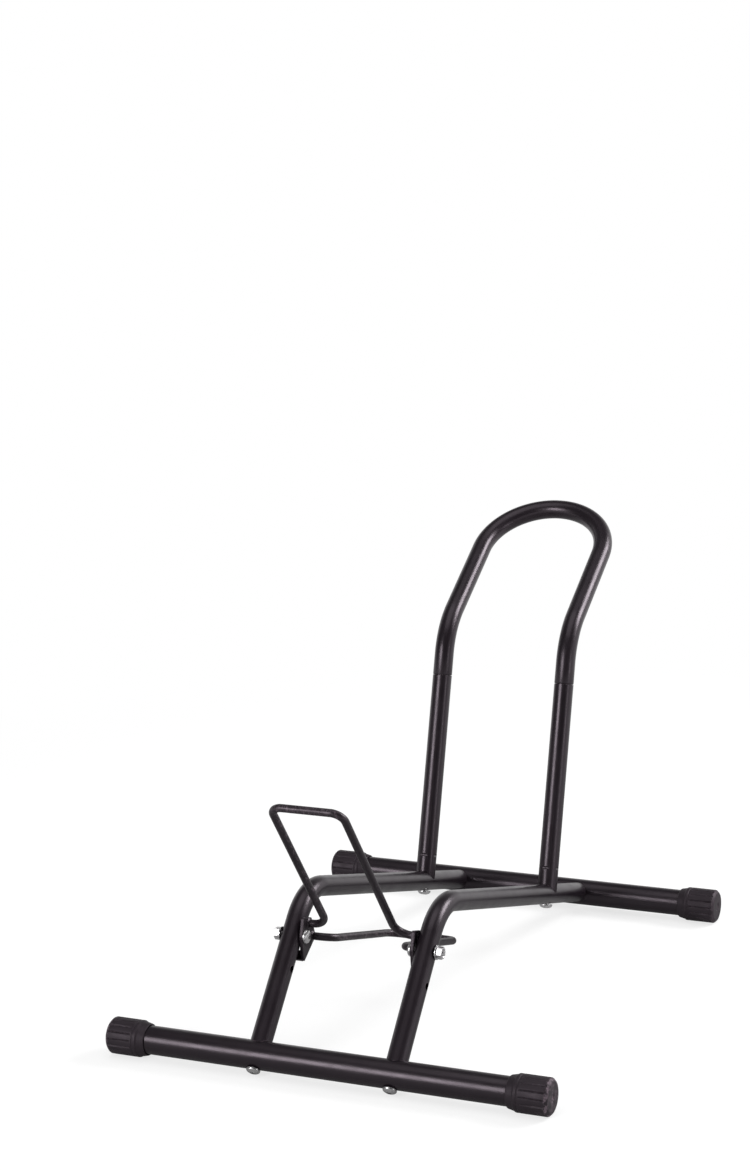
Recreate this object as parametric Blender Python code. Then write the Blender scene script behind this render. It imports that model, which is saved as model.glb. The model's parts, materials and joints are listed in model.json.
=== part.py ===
"""Floor bike stand: two cross feet, two bent side rails, a plug-in hoop and a rocking wheel cradle.

Metres. +Z is up, +Y points to the rear, where the hoop leans, and the stand is symmetric about X = 0.
"""
import math

import bmesh
import bpy
from mathutils import Matrix, Vector

# Feet
OVERALL_WIDTH = 0.416
FOOT_SPACING = 0.480            # front foot's axis to rear foot's axis
FOOT_TUBE_DIAMETER = 0.0254
FOOT_TUBE_WALL = 0.0015

# End caps
CAP_DIAMETER = 0.0328           # across two opposite rib crests
CAP_LENGTH = 0.042
CAP_END_WALL = 0.004
CAP_MOUTH_WALL = 0.0012
CAP_COLLAR_LENGTH = 0.009
CAP_COLLAR_LAND = 0.0015        # smooth ring between the collar's taper and the ribs
CAP_EDGE_CHAMFER = 0.0025
CAP_RIB_COUNT = 16
CAP_RIB_SHARE = 0.72            # a crest's share of one rib's pitch
CAP_GROOVE_DEPTH = 0.0008
CAP_DIMPLE_DIAMETER = 0.009
CAP_DIMPLE_DEPTH = 0.0008

# Side rails
RAIL_SPACING = 0.129            # axis to axis
TUBE_DIAMETER = 0.019           # rails, uprights and hoop are one size of tube
TUBE_WALL = 0.0012
LEG_LEAN = math.radians(43.7)   # from the vertical, rearwards
LEG_LENGTH = 0.1615             # foot's axis to the crossing of the leg's and the run's axes
RAIL_BEND_RADIUS = 0.050

# Uprights and hoop
UPRIGHT_SETBACK = 0.1034        # along the run, from the rear foot's axis
UPRIGHT_HEIGHT = 0.206          # run's axis to the joint with the hoop
HOOP_BEND_HEIGHT = 0.0487       # joint to the crossing of the two straight stretches
HOOP_BEND_RADIUS = 0.0695
HOOP_LEAN = math.radians(59.65)  # from the vertical, rearwards
HOOP_REACH = 0.1826             # from that crossing to the axis of the hoop's top
HOOP_PLUG_LENGTH = 0.040
HOOP_SHOULDER = 0.001

# Cradle
ROD_DIAMETER = 0.007
PIVOT_ALONG_LEG = 0.114         # from the front foot's axis
BOW_WIDTH = 0.0666              # axis to axis of a bow's two arms
FRONT_SEAT_OFFSET = 0.013       # pivot to the front bow's end, along the leg
FRONT_ARM_LENGTH = 0.175
FRONT_ARM_ANGLE = math.radians(126.0)   # from +Y towards +Z
REAR_SEAT_OFFSET = 0.016        # pivot to the rear bow's end, along the run
REAR_ARM_LENGTH = 0.1345
BOW_CORNER_RADIUS = 0.015
BOW_END_RADIUS = 0.011
CRADLE_TRAVEL = math.radians(88.0)
PLATE_THICKNESS = 0.003
PLATE_HUB_RADIUS = 0.006
PLATE_CORNER_RADIUS = 0.002
PLATE_RIM = 0.0015              # steel left round a rod's hole
TAB_LENGTH = 0.009
TAB_THICKNESS = 0.003
TAB_REACH = 0.0117              # out from the plate's outer face
TAB_ROOT_MARGIN = 0.001         # the plate's edge past each side of the tab
TAB_PLAY = math.radians(0.4)    # left at the far end of the travel

# Fasteners
BOLT_DIAMETER = 0.006
BOLT_HEAD_DIAMETER = 0.0126
BOLT_HEAD_HEIGHT = 0.004
BOLT_HEAD_RIM = 0.0008
BOLT_TIP_CHAMFER = 0.0006
SOCKET_ACROSS_FLATS = 0.004
SOCKET_DEPTH = 0.002
NUT_ACROSS_FLATS = 0.010
NUT_HEIGHT = 0.005
BOLT_PROUD = 0.001              # a pivot bolt's tip past its nut
WASHER_DIAMETER = 0.013
WASHER_THICKNESS = 0.001
PLUG_LENGTH = 0.018
PLUG_INSET = 0.003              # a plug's end back from the surface that the tube sits on
PLUG_GRIP = 0.013               # a bolt's length inside its plug
SPARE_HOLE_ALONG_LEG = 0.082
SPARE_HOLE_DIAMETER = 0.0066
STAKE_HEIGHT = 0.026            # run's axis to the dents that hold an upright's plug
STAKE_DIAMETER = 0.0044
STAKE_DEPTH = 0.0005

GAP = 0.0003                    # between seated pieces

# Facets
TUBE_SIDES = 18
FOOT_SIDES = 24
ROD_SIDES = 12
HOLE_SIDES = 12
BOLT_SIDES = 12
BEND_STEP = math.radians(10.0)
ROD_BEND_STEP = math.radians(18.0)
DOME_STEPS = 3

# Radii
FOOT_RADIUS = FOOT_TUBE_DIAMETER / 2
TUBE_RADIUS = TUBE_DIAMETER / 2
TUBE_BORE = TUBE_RADIUS - TUBE_WALL
ROD_RADIUS = ROD_DIAMETER / 2
CAP_RADIUS = CAP_DIAMETER / 2
BOLT_RADIUS = BOLT_DIAMETER / 2
BOLT_HOLE = BOLT_RADIUS + GAP
RAIL_X = RAIL_SPACING / 2
BOW_X = BOW_WIDTH / 2
CUT_MARGIN = 0.005              # how far a cutter runs past what it cuts


def side_vector(angle):
    """Unit vector in the side plane, its angle counted from +Y towards +Z."""
    return Vector((0.0, math.cos(angle), math.sin(angle)))


def square_to(direction):
    """The side plane's vector a quarter turn on from a direction."""
    return Vector((0.0, -direction.z, direction.y))


# Points and directions in the side plane, Y counted from the front foot's axis
ACROSS = Vector((1.0, 0.0, 0.0))
FRONT_FOOT = Vector((0.0, 0.0, CAP_RADIUS))
REAR_FOOT = FRONT_FOOT + Vector((0.0, FOOT_SPACING, 0.0))
LEG = side_vector(math.pi / 2 - LEG_LEAN)
RAIL_CORNER = FRONT_FOOT + LEG_LENGTH * LEG
RUN = (REAR_FOOT - RAIL_CORNER).normalized()
UPRIGHT = square_to(RUN)
UPRIGHT_FOOT = REAR_FOOT - UPRIGHT_SETBACK * RUN
SPLICE = UPRIGHT_FOOT + UPRIGHT_HEIGHT * UPRIGHT
HOOP_CORNER = SPLICE + HOOP_BEND_HEIGHT * UPRIGHT
HOOP_TOP = HOOP_CORNER + HOOP_REACH * side_vector(math.pi / 2 - HOOP_LEAN)
PIVOT = FRONT_FOOT + PIVOT_ALONG_LEG * LEG
SPARE_HOLE = FRONT_FOOT + SPARE_HOLE_ALONG_LEG * LEG
FRONT_SEAT = PIVOT + FRONT_SEAT_OFFSET * LEG
FRONT_BOW_END = FRONT_SEAT + FRONT_ARM_LENGTH * side_vector(FRONT_ARM_ANGLE)
REAR_SEAT = PIVOT + REAR_SEAT_OFFSET * RUN
REAR_BOW_END = REAR_SEAT + REAR_ARM_LENGTH * RUN

# The stack on a pivot bolt, from its head inside the cradle to its tip, as distances from X = 0
RAIL_INNER_X = RAIL_X - TUBE_RADIUS
RAIL_OUTER_X = RAIL_X + TUBE_RADIUS
PLATE_OUTER_X = RAIL_INNER_X - GAP
PLATE_INNER_X = PLATE_OUTER_X - PLATE_THICKNESS
BOLT_SEAT_X = PLATE_INNER_X - GAP
WASHER_INNER_X = RAIL_OUTER_X + GAP
NUT_OUTER_X = WASHER_INNER_X + WASHER_THICKNESS + GAP + NUT_HEIGHT
BOLT_TIP_X = NUT_OUTER_X + BOLT_PROUD

# The origin lies on the floor, in the middle of the stand's length
FRONT_REACH = min(FRONT_BOW_END.y - ROD_RADIUS, FRONT_FOOT.y - CAP_RADIUS)
REAR_REACH = max(HOOP_TOP.y + TUBE_RADIUS, REAR_FOOT.y + CAP_RADIUS)
ORIGIN_SHIFT = Vector((0.0, -(FRONT_REACH + REAR_REACH) / 2, 0.0))


def clear_scene():
    """Removes whatever the scene holds."""
    for old in list(bpy.data.objects):
        bpy.data.objects.remove(old, do_unlink=True)


def make_material(name, colour, roughness, metallic):
    """A plain finish."""
    material = bpy.data.materials.new(name)
    material.use_nodes = True
    shader = material.node_tree.nodes["Principled BSDF"]
    shader.inputs["Base Color"].default_value = (*colour, 1.0)
    shader.inputs["Roughness"].default_value = roughness
    shader.inputs["Metallic"].default_value = metallic
    return material


def finished_mesh(bm, name):
    """Turns a bmesh into a mesh with its faces outwards and its round faces smooth."""
    bmesh.ops.recalc_face_normals(bm, faces=bm.faces)
    mesh = bpy.data.meshes.new(name)
    bm.to_mesh(mesh)
    bm.free()
    mesh.shade_smooth()
    mesh.set_sharp_from_angle(angle=math.radians(35.0))
    return mesh


def add_object(name, mesh, material, parent, location=(0.0, 0.0, 0.0), turn=None):
    """One named sub-part, placed under its parent."""
    if not mesh.materials:
        mesh.materials.append(material)
    part = bpy.data.objects.new(name, mesh)
    part.parent = parent
    part.location = location
    if turn is not None:
        part.rotation_mode = "QUATERNION"
        part.rotation_quaternion = turn
    bpy.context.scene.collection.objects.link(part)
    return part


def add_empty(name, parent, location):
    """A bare axis that other objects hang on."""
    empty = bpy.data.objects.new(name, None)
    empty.parent = parent
    empty.location = location
    bpy.context.scene.collection.objects.link(empty)
    return empty


def combine(mesh, tools, operation):
    """Returns the mesh with every tool mesh cut away or joined on."""
    collection = bpy.context.scene.collection
    body = bpy.data.objects.new("body", mesh)
    collection.objects.link(body)
    helpers = []
    for tool_mesh in tools:
        helper = bpy.data.objects.new("cutter", tool_mesh)
        helper.hide_render = True
        helper.display_type = "WIRE"
        collection.objects.link(helper)
        helpers.append(helper)
        boolean = body.modifiers.new("boolean", "BOOLEAN")
        boolean.operation = operation
        boolean.solver = "EXACT"
        boolean.object = helper
    evaluated = body.evaluated_get(bpy.context.evaluated_depsgraph_get())
    result = bpy.data.meshes.new_from_object(evaluated)
    result.name = mesh.name
    for helper in [body, *helpers]:
        bpy.data.objects.remove(helper, do_unlink=True)
    result.shade_smooth()
    result.set_sharp_from_angle(angle=math.radians(35.0))
    return result


def rounded_path(corners, radius, step):
    """The points of a line through the corners, each inner corner turned into an arc."""
    points = [corners[0]]
    for before, corner, after in zip(corners, corners[1:], corners[2:]):
        back = (before - corner).normalized()
        on = (after - corner).normalized()
        half = back.angle(on) / 2
        centre = corner + (back + on).normalized() * radius / math.sin(half)
        start = corner + back * radius / math.tan(half) - centre
        end = corner + on * radius / math.tan(half) - centre
        turn = start.rotation_difference(end)
        count = max(2, round((math.pi - 2 * half) / step))
        for index in range(count + 1):
            spin = Matrix.Rotation(turn.angle * index / count, 3, turn.axis)
            points.append(centre + spin @ start)
    points.append(corners[-1])
    return points


def path_frames(path):
    """A matrix at each point of a path: its Z runs along the path, its X turns no more than it must."""
    ahead = [(after - before).normalized() for before, after in zip(path, path[1:])]
    tangents = [ahead[0]]
    tangents += [(one + two).normalized() for one, two in zip(ahead, ahead[1:])]
    tangents.append(ahead[-1])
    across = ACROSS if abs(tangents[0].x) < 0.5 else Vector((0.0, 0.0, 1.0))
    frames = []
    for index, tangent in enumerate(tangents):
        if index:
            across = tangents[index - 1].rotation_difference(tangent) @ across
        across = (across - across.dot(tangent) * tangent).normalized()
        other = tangent.cross(across)
        frame = Matrix((across, other, tangent)).transposed().to_4x4()
        frame.translation = path[index]
        frames.append(frame)
    return frames


def sweep(bm, path, radii, sides):
    """Extrudes a circle along a path and returns its first and last rings of edges."""
    frames = [
        frame @ Matrix.Diagonal((radius, radius, 1.0, 1.0))
        for frame, radius in zip(path_frames(path), radii)
    ]
    ring = bmesh.ops.create_circle(bm, segments=sides, radius=1.0, matrix=frames[0])["verts"]
    edges = list({edge for vert in ring for edge in vert.link_edges})
    first = edges
    for here, there in zip(frames, frames[1:]):
        grown = bmesh.ops.extrude_edge_only(bm, edges=edges)["geom"]
        ring = {item for item in grown if isinstance(item, bmesh.types.BMVert)}
        bmesh.ops.transform(bm, matrix=there @ here.inverted(), verts=list(ring))
        edges = [
            edge for edge in {edge for vert in ring for edge in vert.link_edges}
            if edge.verts[0] in ring and edge.verts[1] in ring
        ]
    return first, edges


def tube_mesh(name, path, outer, wall, sides):
    """A hollow tube along a path, open at both ends. The outer radius is a number or a list."""
    outer = outer if isinstance(outer, list) else [outer] * len(path)
    bm = bmesh.new()
    sweep(bm, path, outer, sides)
    bmesh.ops.recalc_face_normals(bm, faces=bm.faces)
    bmesh.ops.solidify(bm, geom=bm.faces[:], thickness=wall * math.cos(math.pi / sides))
    return finished_mesh(bm, name)


def rod_mesh(name, path, radius, sides):
    """A solid round rod along a path."""
    bm = bmesh.new()
    for ring in sweep(bm, path, [radius] * len(path), sides):
        bmesh.ops.holes_fill(bm, edges=ring)
    return finished_mesh(bm, name)


def round_cutter(centre, direction, radius, length, sides=HOLE_SIDES):
    """A cylinder centred on a point, to cut with."""
    half = direction * (length / 2)
    return rod_mesh("cutter", [centre - half, centre + half], radius, sides)


def turned_mesh(name, profile, sides):
    """Spins a profile of (radius, height) points about Z."""
    bm = bmesh.new()
    verts = [bm.verts.new((radius, 0.0, height)) for radius, height in profile]
    edges = [bm.edges.new(pair) for pair in zip(verts, verts[1:])]
    bmesh.ops.spin(
        bm, geom=verts + edges, axis=(0.0, 0.0, 1.0), cent=(0.0, 0.0, 0.0),
        angle=2 * math.pi, steps=sides, use_merge=True,
    )
    bmesh.ops.remove_doubles(bm, verts=bm.verts, dist=1e-6)
    return finished_mesh(bm, name)


def ribbed_ring(radius, depth):
    """The outline of a ribbed round, with a crest straight below and the grooves' depth taken off."""
    pitch = 2 * math.pi / CAP_RIB_COUNT
    half_crest = pitch * CAP_RIB_SHARE / 2
    corner = radius / math.cos(half_crest)
    outline = []
    for index in range(CAP_RIB_COUNT):
        middle = -math.pi / 2 + index * pitch
        for angle, reach in (
            (middle - half_crest, corner),
            (middle + half_crest, corner),
            (middle + pitch / 2, corner - depth),
        ):
            outline.append((reach * math.cos(angle), reach * math.sin(angle)))
    return outline


def cap_mesh():
    """An end cap, its mouth at X = 0 and its end towards +X."""
    mouth = FOOT_RADIUS + GAP + CAP_MOUTH_WALL
    dimple = CAP_DIMPLE_DIAMETER / 2
    ribs_start = CAP_COLLAR_LENGTH + CAP_COLLAR_LAND
    ribs_end = CAP_LENGTH - CAP_EDGE_CHAMFER
    stations = (
        (0.0, mouth, 0.0),
        (CAP_COLLAR_LENGTH, CAP_RADIUS, 0.0),
        (ribs_start, CAP_RADIUS, 0.0),
        (ribs_start + CAP_GROOVE_DEPTH, CAP_RADIUS, CAP_GROOVE_DEPTH),
        (ribs_end, CAP_RADIUS, CAP_GROOVE_DEPTH),
        (CAP_LENGTH, CAP_RADIUS - CAP_EDGE_CHAMFER, 0.0),
        (CAP_LENGTH, dimple, 0.0),
        (CAP_LENGTH - CAP_DIMPLE_DEPTH, dimple - CAP_DIMPLE_DEPTH, 0.0),
    )
    bm = bmesh.new()
    rings = []
    for x, radius, depth in stations:
        rings.append([bm.verts.new((x, y, z)) for y, z in ribbed_ring(radius, depth)])
    for ring, following in zip(rings, rings[1:]):
        for index in range(len(ring)):
            bm.faces.new((ring[index - 1], ring[index], following[index], following[index - 1]))
    bm.faces.new(rings[0])
    bm.faces.new(rings[-1])
    solid = finished_mesh(bm, "foot_cap")
    depth = CAP_LENGTH - CAP_END_WALL
    bore = round_cutter(
        ACROSS * (depth - CUT_MARGIN) / 2, ACROSS, FOOT_RADIUS + GAP, depth + CUT_MARGIN, FOOT_SIDES
    )
    return combine(solid, [bore], "DIFFERENCE")


def foot_tube_mesh(name, bolt_direction):
    """A foot's tube along X, drilled for its two bolts."""
    half = OVERALL_WIDTH / 2 - CAP_END_WALL - GAP
    blank = tube_mesh(
        name, [-half * ACROSS, half * ACROSS], FOOT_RADIUS, FOOT_TUBE_WALL, FOOT_SIDES
    )
    holes = [
        round_cutter(side * RAIL_X * ACROSS, bolt_direction, BOLT_HOLE, FOOT_TUBE_DIAMETER + CUT_MARGIN)
        for side in (-1, 1)
    ]
    return combine(blank, holes, "DIFFERENCE")


def side_rail_mesh():
    """A side rail in the plane X = 0: leg, bend and run, its ends coped to the feet."""
    path = rounded_path([FRONT_FOOT, RAIL_CORNER, REAR_FOOT], RAIL_BEND_RADIUS, BEND_STEP)
    blank = tube_mesh("side_rail", path, TUBE_RADIUS, TUBE_WALL, TUBE_SIDES)
    cope = FOOT_RADIUS + GAP
    wide = TUBE_DIAMETER + CUT_MARGIN
    cutters = [
        round_cutter(FRONT_FOOT, ACROSS, cope, wide, FOOT_SIDES),
        round_cutter(REAR_FOOT, ACROSS, cope, wide, FOOT_SIDES),
        round_cutter(PIVOT, ACROSS, BOLT_HOLE, wide),
        round_cutter(SPARE_HOLE, ACROSS, SPARE_HOLE_DIAMETER / 2, wide),
        round_cutter(UPRIGHT_FOOT, UPRIGHT, BOLT_HOLE, wide),
    ]
    return combine(blank, cutters, "DIFFERENCE")


def upright_mesh():
    """An upright in the plane X = 0, coped over the run and dented where its plug is held."""
    blank = tube_mesh("upright", [UPRIGHT_FOOT, SPLICE], TUBE_RADIUS, TUBE_WALL, TUBE_SIDES)
    cope = round_cutter(
        UPRIGHT_FOOT, RUN, TUBE_RADIUS + GAP, TUBE_DIAMETER + 2 * CUT_MARGIN, TUBE_SIDES
    )
    dent_floor = UPRIGHT_FOOT + STAKE_HEIGHT * UPRIGHT - (TUBE_RADIUS - STAKE_DEPTH) * RUN
    dent_radius = STAKE_DIAMETER / 2
    dent = turned_mesh(
        "dent",
        [(0.0, 0.0), (dent_radius, STAKE_DEPTH), (dent_radius, CUT_MARGIN), (0.0, CUT_MARGIN)],
        HOLE_SIDES,
    )
    facing = (-RUN).to_track_quat("Z", "X").to_matrix().to_4x4()
    dent.transform(Matrix.Translation(dent_floor) @ facing)
    return combine(blank, [cope, dent], "DIFFERENCE")


def hoop_mesh():
    """The hoop: two plugs, two bends and a round top as wide as the uprights."""
    plug = TUBE_BORE - GAP
    right = RAIL_X * ACROSS
    neck = SPLICE + GAP * UPRIGHT
    shoulder = neck + HOOP_SHOULDER * UPRIGHT
    over_top = rounded_path([HOOP_CORNER + right, HOOP_TOP + right, HOOP_TOP - right], RAIL_X, BEND_STEP)
    leg = rounded_path([shoulder + right, HOOP_CORNER + right, over_top[1]], HOOP_BEND_RADIUS, BEND_STEP)
    half_arc = over_top[2:-1]
    middle = [point.reflect(ACROSS) for point in reversed(half_arc)]
    leg_down = [point.reflect(ACROSS) for point in reversed(leg)]
    body = leg + half_arc + middle[1:] + leg_down
    plug_up = [SPLICE - HOOP_PLUG_LENGTH * UPRIGHT + right, neck + right]
    plug_down = [point.reflect(ACROSS) for point in reversed(plug_up)]
    path = plug_up + body + plug_down
    outer = [plug, plug] + [TUBE_RADIUS] * len(body) + [plug, plug]
    return tube_mesh("top_hoop", path, outer, TUBE_WALL, TUBE_SIDES)


def bow_mesh(name, seat, far_end):
    """A cradle bow about the pivot: two arms, a cross-run and two ends turned out to the plates."""
    seat_local = seat - PIVOT
    end_local = far_end - PIVOT
    right_end = seat_local + PLATE_OUTER_X * ACROSS
    right_bend = seat_local + BOW_X * ACROSS
    right_corner = end_local + BOW_X * ACROSS
    first_bend = rounded_path([right_end, right_bend, right_corner], BOW_END_RADIUS, ROD_BEND_STEP)
    middle = end_local.copy()
    corner = rounded_path([right_bend, right_corner, middle], BOW_CORNER_RADIUS, ROD_BEND_STEP)
    half = first_bend[:-1] + corner[1:-1]
    path = half + [point.reflect(ACROSS) for point in reversed(half)]
    return rod_mesh(name, path, ROD_RADIUS, ROD_SIDES)


def plate_mesh(side):
    """A cradle side plate about the pivot: a blank square to the run and a stop tab under the leg."""
    leg_up = square_to(LEG)
    tab_under = TUBE_RADIUS + GAP
    tab_start = tab_under / math.tan(math.pi / 2 - CRADLE_TRAVEL / 2 - TAB_PLAY)
    tab_middle = tab_under + TAB_THICKNESS / 2
    seat_radius = ROD_RADIUS + PLATE_RIM
    front_seat = FRONT_SEAT - PIVOT
    corner_top = front_seat.dot(UPRIGHT) + seat_radius - PLATE_CORNER_RADIUS
    corner_back = front_seat.dot(RUN) + seat_radius - PLATE_CORNER_RADIUS
    corner_front = PLATE_CORNER_RADIUS - PLATE_HUB_RADIUS
    rounds = (
        (Vector((0.0, 0.0, 0.0)), PLATE_HUB_RADIUS),
        (REAR_SEAT - PIVOT, seat_radius),
        (corner_back * RUN + corner_top * UPRIGHT, PLATE_CORNER_RADIUS),
        (corner_front * RUN + corner_top * UPRIGHT, PLATE_CORNER_RADIUS),
    )
    bm = bmesh.new()
    for x in (PLATE_INNER_X, PLATE_OUTER_X):
        for centre, radius in rounds:
            for index in range(TUBE_SIDES):
                rim = side_vector(2 * math.pi * index / TUBE_SIDES) * radius
                bm.verts.new(centre + rim + side * x * ACROSS)
        for along in (tab_start - TAB_ROOT_MARGIN, tab_start + TAB_LENGTH + TAB_ROOT_MARGIN):
            bm.verts.new(side * x * ACROSS - along * LEG - tab_middle * leg_up)
    hull = bmesh.ops.convex_hull(bm, input=bm.verts)
    loose = [item for item in hull["geom_interior"] if isinstance(item, bmesh.types.BMVert)]
    bmesh.ops.delete(bm, geom=loose, context="VERTS")
    blank = finished_mesh(bm, "cradle_plate")

    tab_inner_x = PLATE_OUTER_X - PLATE_THICKNESS / 2
    tab_outer_x = PLATE_OUTER_X + TAB_REACH
    tab_bm = bmesh.new()
    place = Matrix((ACROSS * side, LEG, leg_up)).transposed().to_4x4()
    place.translation = (
        side * (tab_inner_x + tab_outer_x) / 2 * ACROSS - (tab_start + TAB_LENGTH / 2) * LEG
        - tab_middle * leg_up
    )
    size = Matrix.Diagonal((tab_outer_x - tab_inner_x, TAB_LENGTH, TAB_THICKNESS, 1.0))
    bmesh.ops.create_cube(tab_bm, size=1.0, matrix=place @ size)
    joined = combine(blank, [finished_mesh(tab_bm, "tab")], "UNION")

    middle_x = side * (PLATE_INNER_X + PLATE_OUTER_X) / 2 * ACROSS
    wide = PLATE_THICKNESS + CUT_MARGIN / 2
    holes = [
        round_cutter(middle_x, ACROSS, BOLT_HOLE, wide),
        round_cutter(middle_x + front_seat, ACROSS, ROD_RADIUS + GAP, wide),
        round_cutter(middle_x + REAR_SEAT - PIVOT, ACROSS, ROD_RADIUS + GAP, wide),
    ]
    return combine(joined, holes, "DIFFERENCE")


def bolt_mesh(name, length):
    """A domed bolt with a hex socket: its head sits on Z = 0 and its shank points down."""
    head = BOLT_HEAD_DIAMETER / 2
    dome = [
        (head * math.sin(angle), BOLT_HEAD_RIM + (BOLT_HEAD_HEIGHT - BOLT_HEAD_RIM) * math.cos(angle))
        for angle in (math.pi / 2 * index / DOME_STEPS for index in range(DOME_STEPS + 1))
    ]
    tip = BOLT_RADIUS - BOLT_TIP_CHAMFER
    profile = [(0.0, dome[0][1])] + dome[1:] + [
        (head, 0.0),
        (BOLT_RADIUS, 0.0),
        (BOLT_RADIUS, BOLT_TIP_CHAMFER - length),
        (tip, -length),
        (0.0, -length),
    ]
    blank = turned_mesh(name, profile, BOLT_SIDES)
    corner = SOCKET_ACROSS_FLATS / 2 / math.cos(math.pi / 6)
    up = Vector((0.0, 0.0, 1.0))
    socket = round_cutter(up * BOLT_HEAD_HEIGHT, up, corner, 2 * SOCKET_DEPTH, 6)
    return combine(blank, [socket], "DIFFERENCE")


def nut_mesh():
    """A hex nut along X, its outer face at X = 0 and its body towards -X."""
    corner = NUT_ACROSS_FLATS / 2 / math.cos(math.pi / 6)
    blank = rod_mesh("pivot_nut", [-NUT_HEIGHT * ACROSS, Vector((0.0, 0.0, 0.0))], corner, 6)
    hole = round_cutter(-NUT_HEIGHT / 2 * ACROSS, ACROSS, BOLT_HOLE, NUT_HEIGHT + CUT_MARGIN)
    return combine(blank, [hole], "DIFFERENCE")


def plug_mesh(name, start, direction):
    """A threaded plug inside a tube, from a point in its direction."""
    path = [start, start + PLUG_LENGTH * direction]
    radius = TUBE_BORE - GAP
    return tube_mesh(name, path, radius, radius - BOLT_HOLE, BOLT_SIDES)


def build_feet(frame, coat, plastic):
    """Both foot tubes and their four end caps."""
    cap = cap_mesh()
    half_turn = Matrix.Rotation(math.pi, 4, "Z").to_quaternion()
    cap_mouth = (OVERALL_WIDTH / 2 - CAP_LENGTH) * ACROSS
    for end, place, bolt_direction in (("front", FRONT_FOOT, LEG), ("rear", REAR_FOOT, RUN)):
        tube = foot_tube_mesh(f"{end}_foot_tube", bolt_direction)
        add_object(f"{end}_foot_tube", tube, coat, frame, place)
        add_object(f"{end}_left_foot_cap", cap, plastic, frame, place - cap_mouth, half_turn)
        add_object(f"{end}_right_foot_cap", cap, plastic, frame, place + cap_mouth)


def build_rails(frame, coat):
    """The side rails, the uprights and the hoop."""
    rail = side_rail_mesh()
    upright = upright_mesh()
    for side_name, side in (("left", -1), ("right", 1)):
        add_object(f"{side_name}_side_rail", rail, coat, frame, side * RAIL_X * ACROSS)
        add_object(f"{side_name}_upright", upright, coat, frame, side * RAIL_X * ACROSS)
    add_object("top_hoop", hoop_mesh(), coat, frame)


def build_cradle(frame, coat):
    """The rocking cradle, on an empty that lies on its hinge axis."""
    pivot = add_empty("cradle_pivot", frame, PIVOT)
    add_object("cradle_front_bow", bow_mesh("front_bow", FRONT_SEAT, FRONT_BOW_END), coat, pivot)
    add_object("cradle_rear_bow", bow_mesh("rear_bow", REAR_SEAT, REAR_BOW_END), coat, pivot)
    add_object("cradle_left_plate", plate_mesh(-1), coat, pivot)
    add_object("cradle_right_plate", plate_mesh(1), coat, pivot)


def build_pivot_fasteners(frame, zinc):
    """A bolt out through each plate and rail, with a washer and a nut on the rail's outer side."""
    bolt = bolt_mesh("pivot_bolt", BOLT_TIP_X - BOLT_SEAT_X)
    nut = nut_mesh()
    washer_path = [Vector((0.0, 0.0, 0.0)), WASHER_THICKNESS * ACROSS]
    washer_radius = WASHER_DIAMETER / 2
    washer = tube_mesh("pivot_washer", washer_path, washer_radius, washer_radius - BOLT_HOLE, BOLT_SIDES)
    half_turn = Matrix.Rotation(math.pi, 4, "Z").to_quaternion()
    for side_name, side in (("left", -1), ("right", 1)):
        outwards = side * ACROSS
        turn = None if side > 0 else half_turn
        head_turn = (-outwards).to_track_quat("Z", "Y")
        head_place = PIVOT + BOLT_SEAT_X * outwards
        washer_place = PIVOT + WASHER_INNER_X * outwards
        nut_place = PIVOT + NUT_OUTER_X * outwards
        add_object(f"{side_name}_pivot_bolt", bolt, zinc, frame, head_place, head_turn)
        add_object(f"{side_name}_pivot_washer", washer, zinc, frame, washer_place, turn)
        add_object(f"{side_name}_pivot_nut", nut, zinc, frame, nut_place, turn)


def build_frame_fasteners(frame, zinc):
    """The threaded plugs in the tubes' ends and the bolts that pull the tubes onto each other."""
    joints = (
        ("leg", FRONT_FOOT, LEG, FOOT_RADIUS),
        ("run", REAR_FOOT, -RUN, FOOT_RADIUS),
        ("upright", UPRIGHT_FOOT, UPRIGHT, TUBE_RADIUS),
    )
    for joint, seat, direction, radius in joints:
        head_drop = radius + GAP
        plug_start = radius + PLUG_INSET
        plug = plug_mesh(f"{joint}_plug", plug_start * direction, direction)
        bolt = bolt_mesh(f"{joint}_bolt", head_drop + plug_start + PLUG_GRIP)
        head_turn = (-direction).to_track_quat("Z", "X")
        for side_name, side in (("left", -1), ("right", 1)):
            place = seat + side * RAIL_X * ACROSS
            head_place = place - head_drop * direction
            add_object(f"{side_name}_{joint}_plug", plug, zinc, frame, place)
            add_object(f"{side_name}_{joint}_bolt", bolt, zinc, frame, head_place, head_turn)


def main():
    clear_scene()
    coat = make_material("black_powder_coat", (0.030, 0.027, 0.031), 0.35, 0.0)
    rod_coat = make_material("black_rod_coat", (0.022, 0.020, 0.022), 0.40, 0.0)
    plastic = make_material("black_ribbed_plastic", (0.028, 0.027, 0.028), 0.55, 0.0)
    zinc = make_material("bright_zinc", (0.78, 0.78, 0.77), 0.25, 1.0)
    frame = add_empty("stand", None, ORIGIN_SHIFT)
    build_feet(frame, coat, plastic)
    build_rails(frame, coat)
    build_cradle(frame, rod_coat)
    build_pivot_fasteners(frame, zinc)
    build_frame_fasteners(frame, zinc)


main()
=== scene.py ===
"""Looks of a floor bike stand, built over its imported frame.

Tubes, caps, cradle and fasteners are each made by one operator from the sizes and
finishes in the property groups below, and ride on the frame's two bodies.
"""

import json
import math
from types import SimpleNamespace

import bmesh
import bpy
from bpy.props import FloatProperty, FloatVectorProperty, IntProperty, PointerProperty
from mathutils import Matrix, Vector


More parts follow.
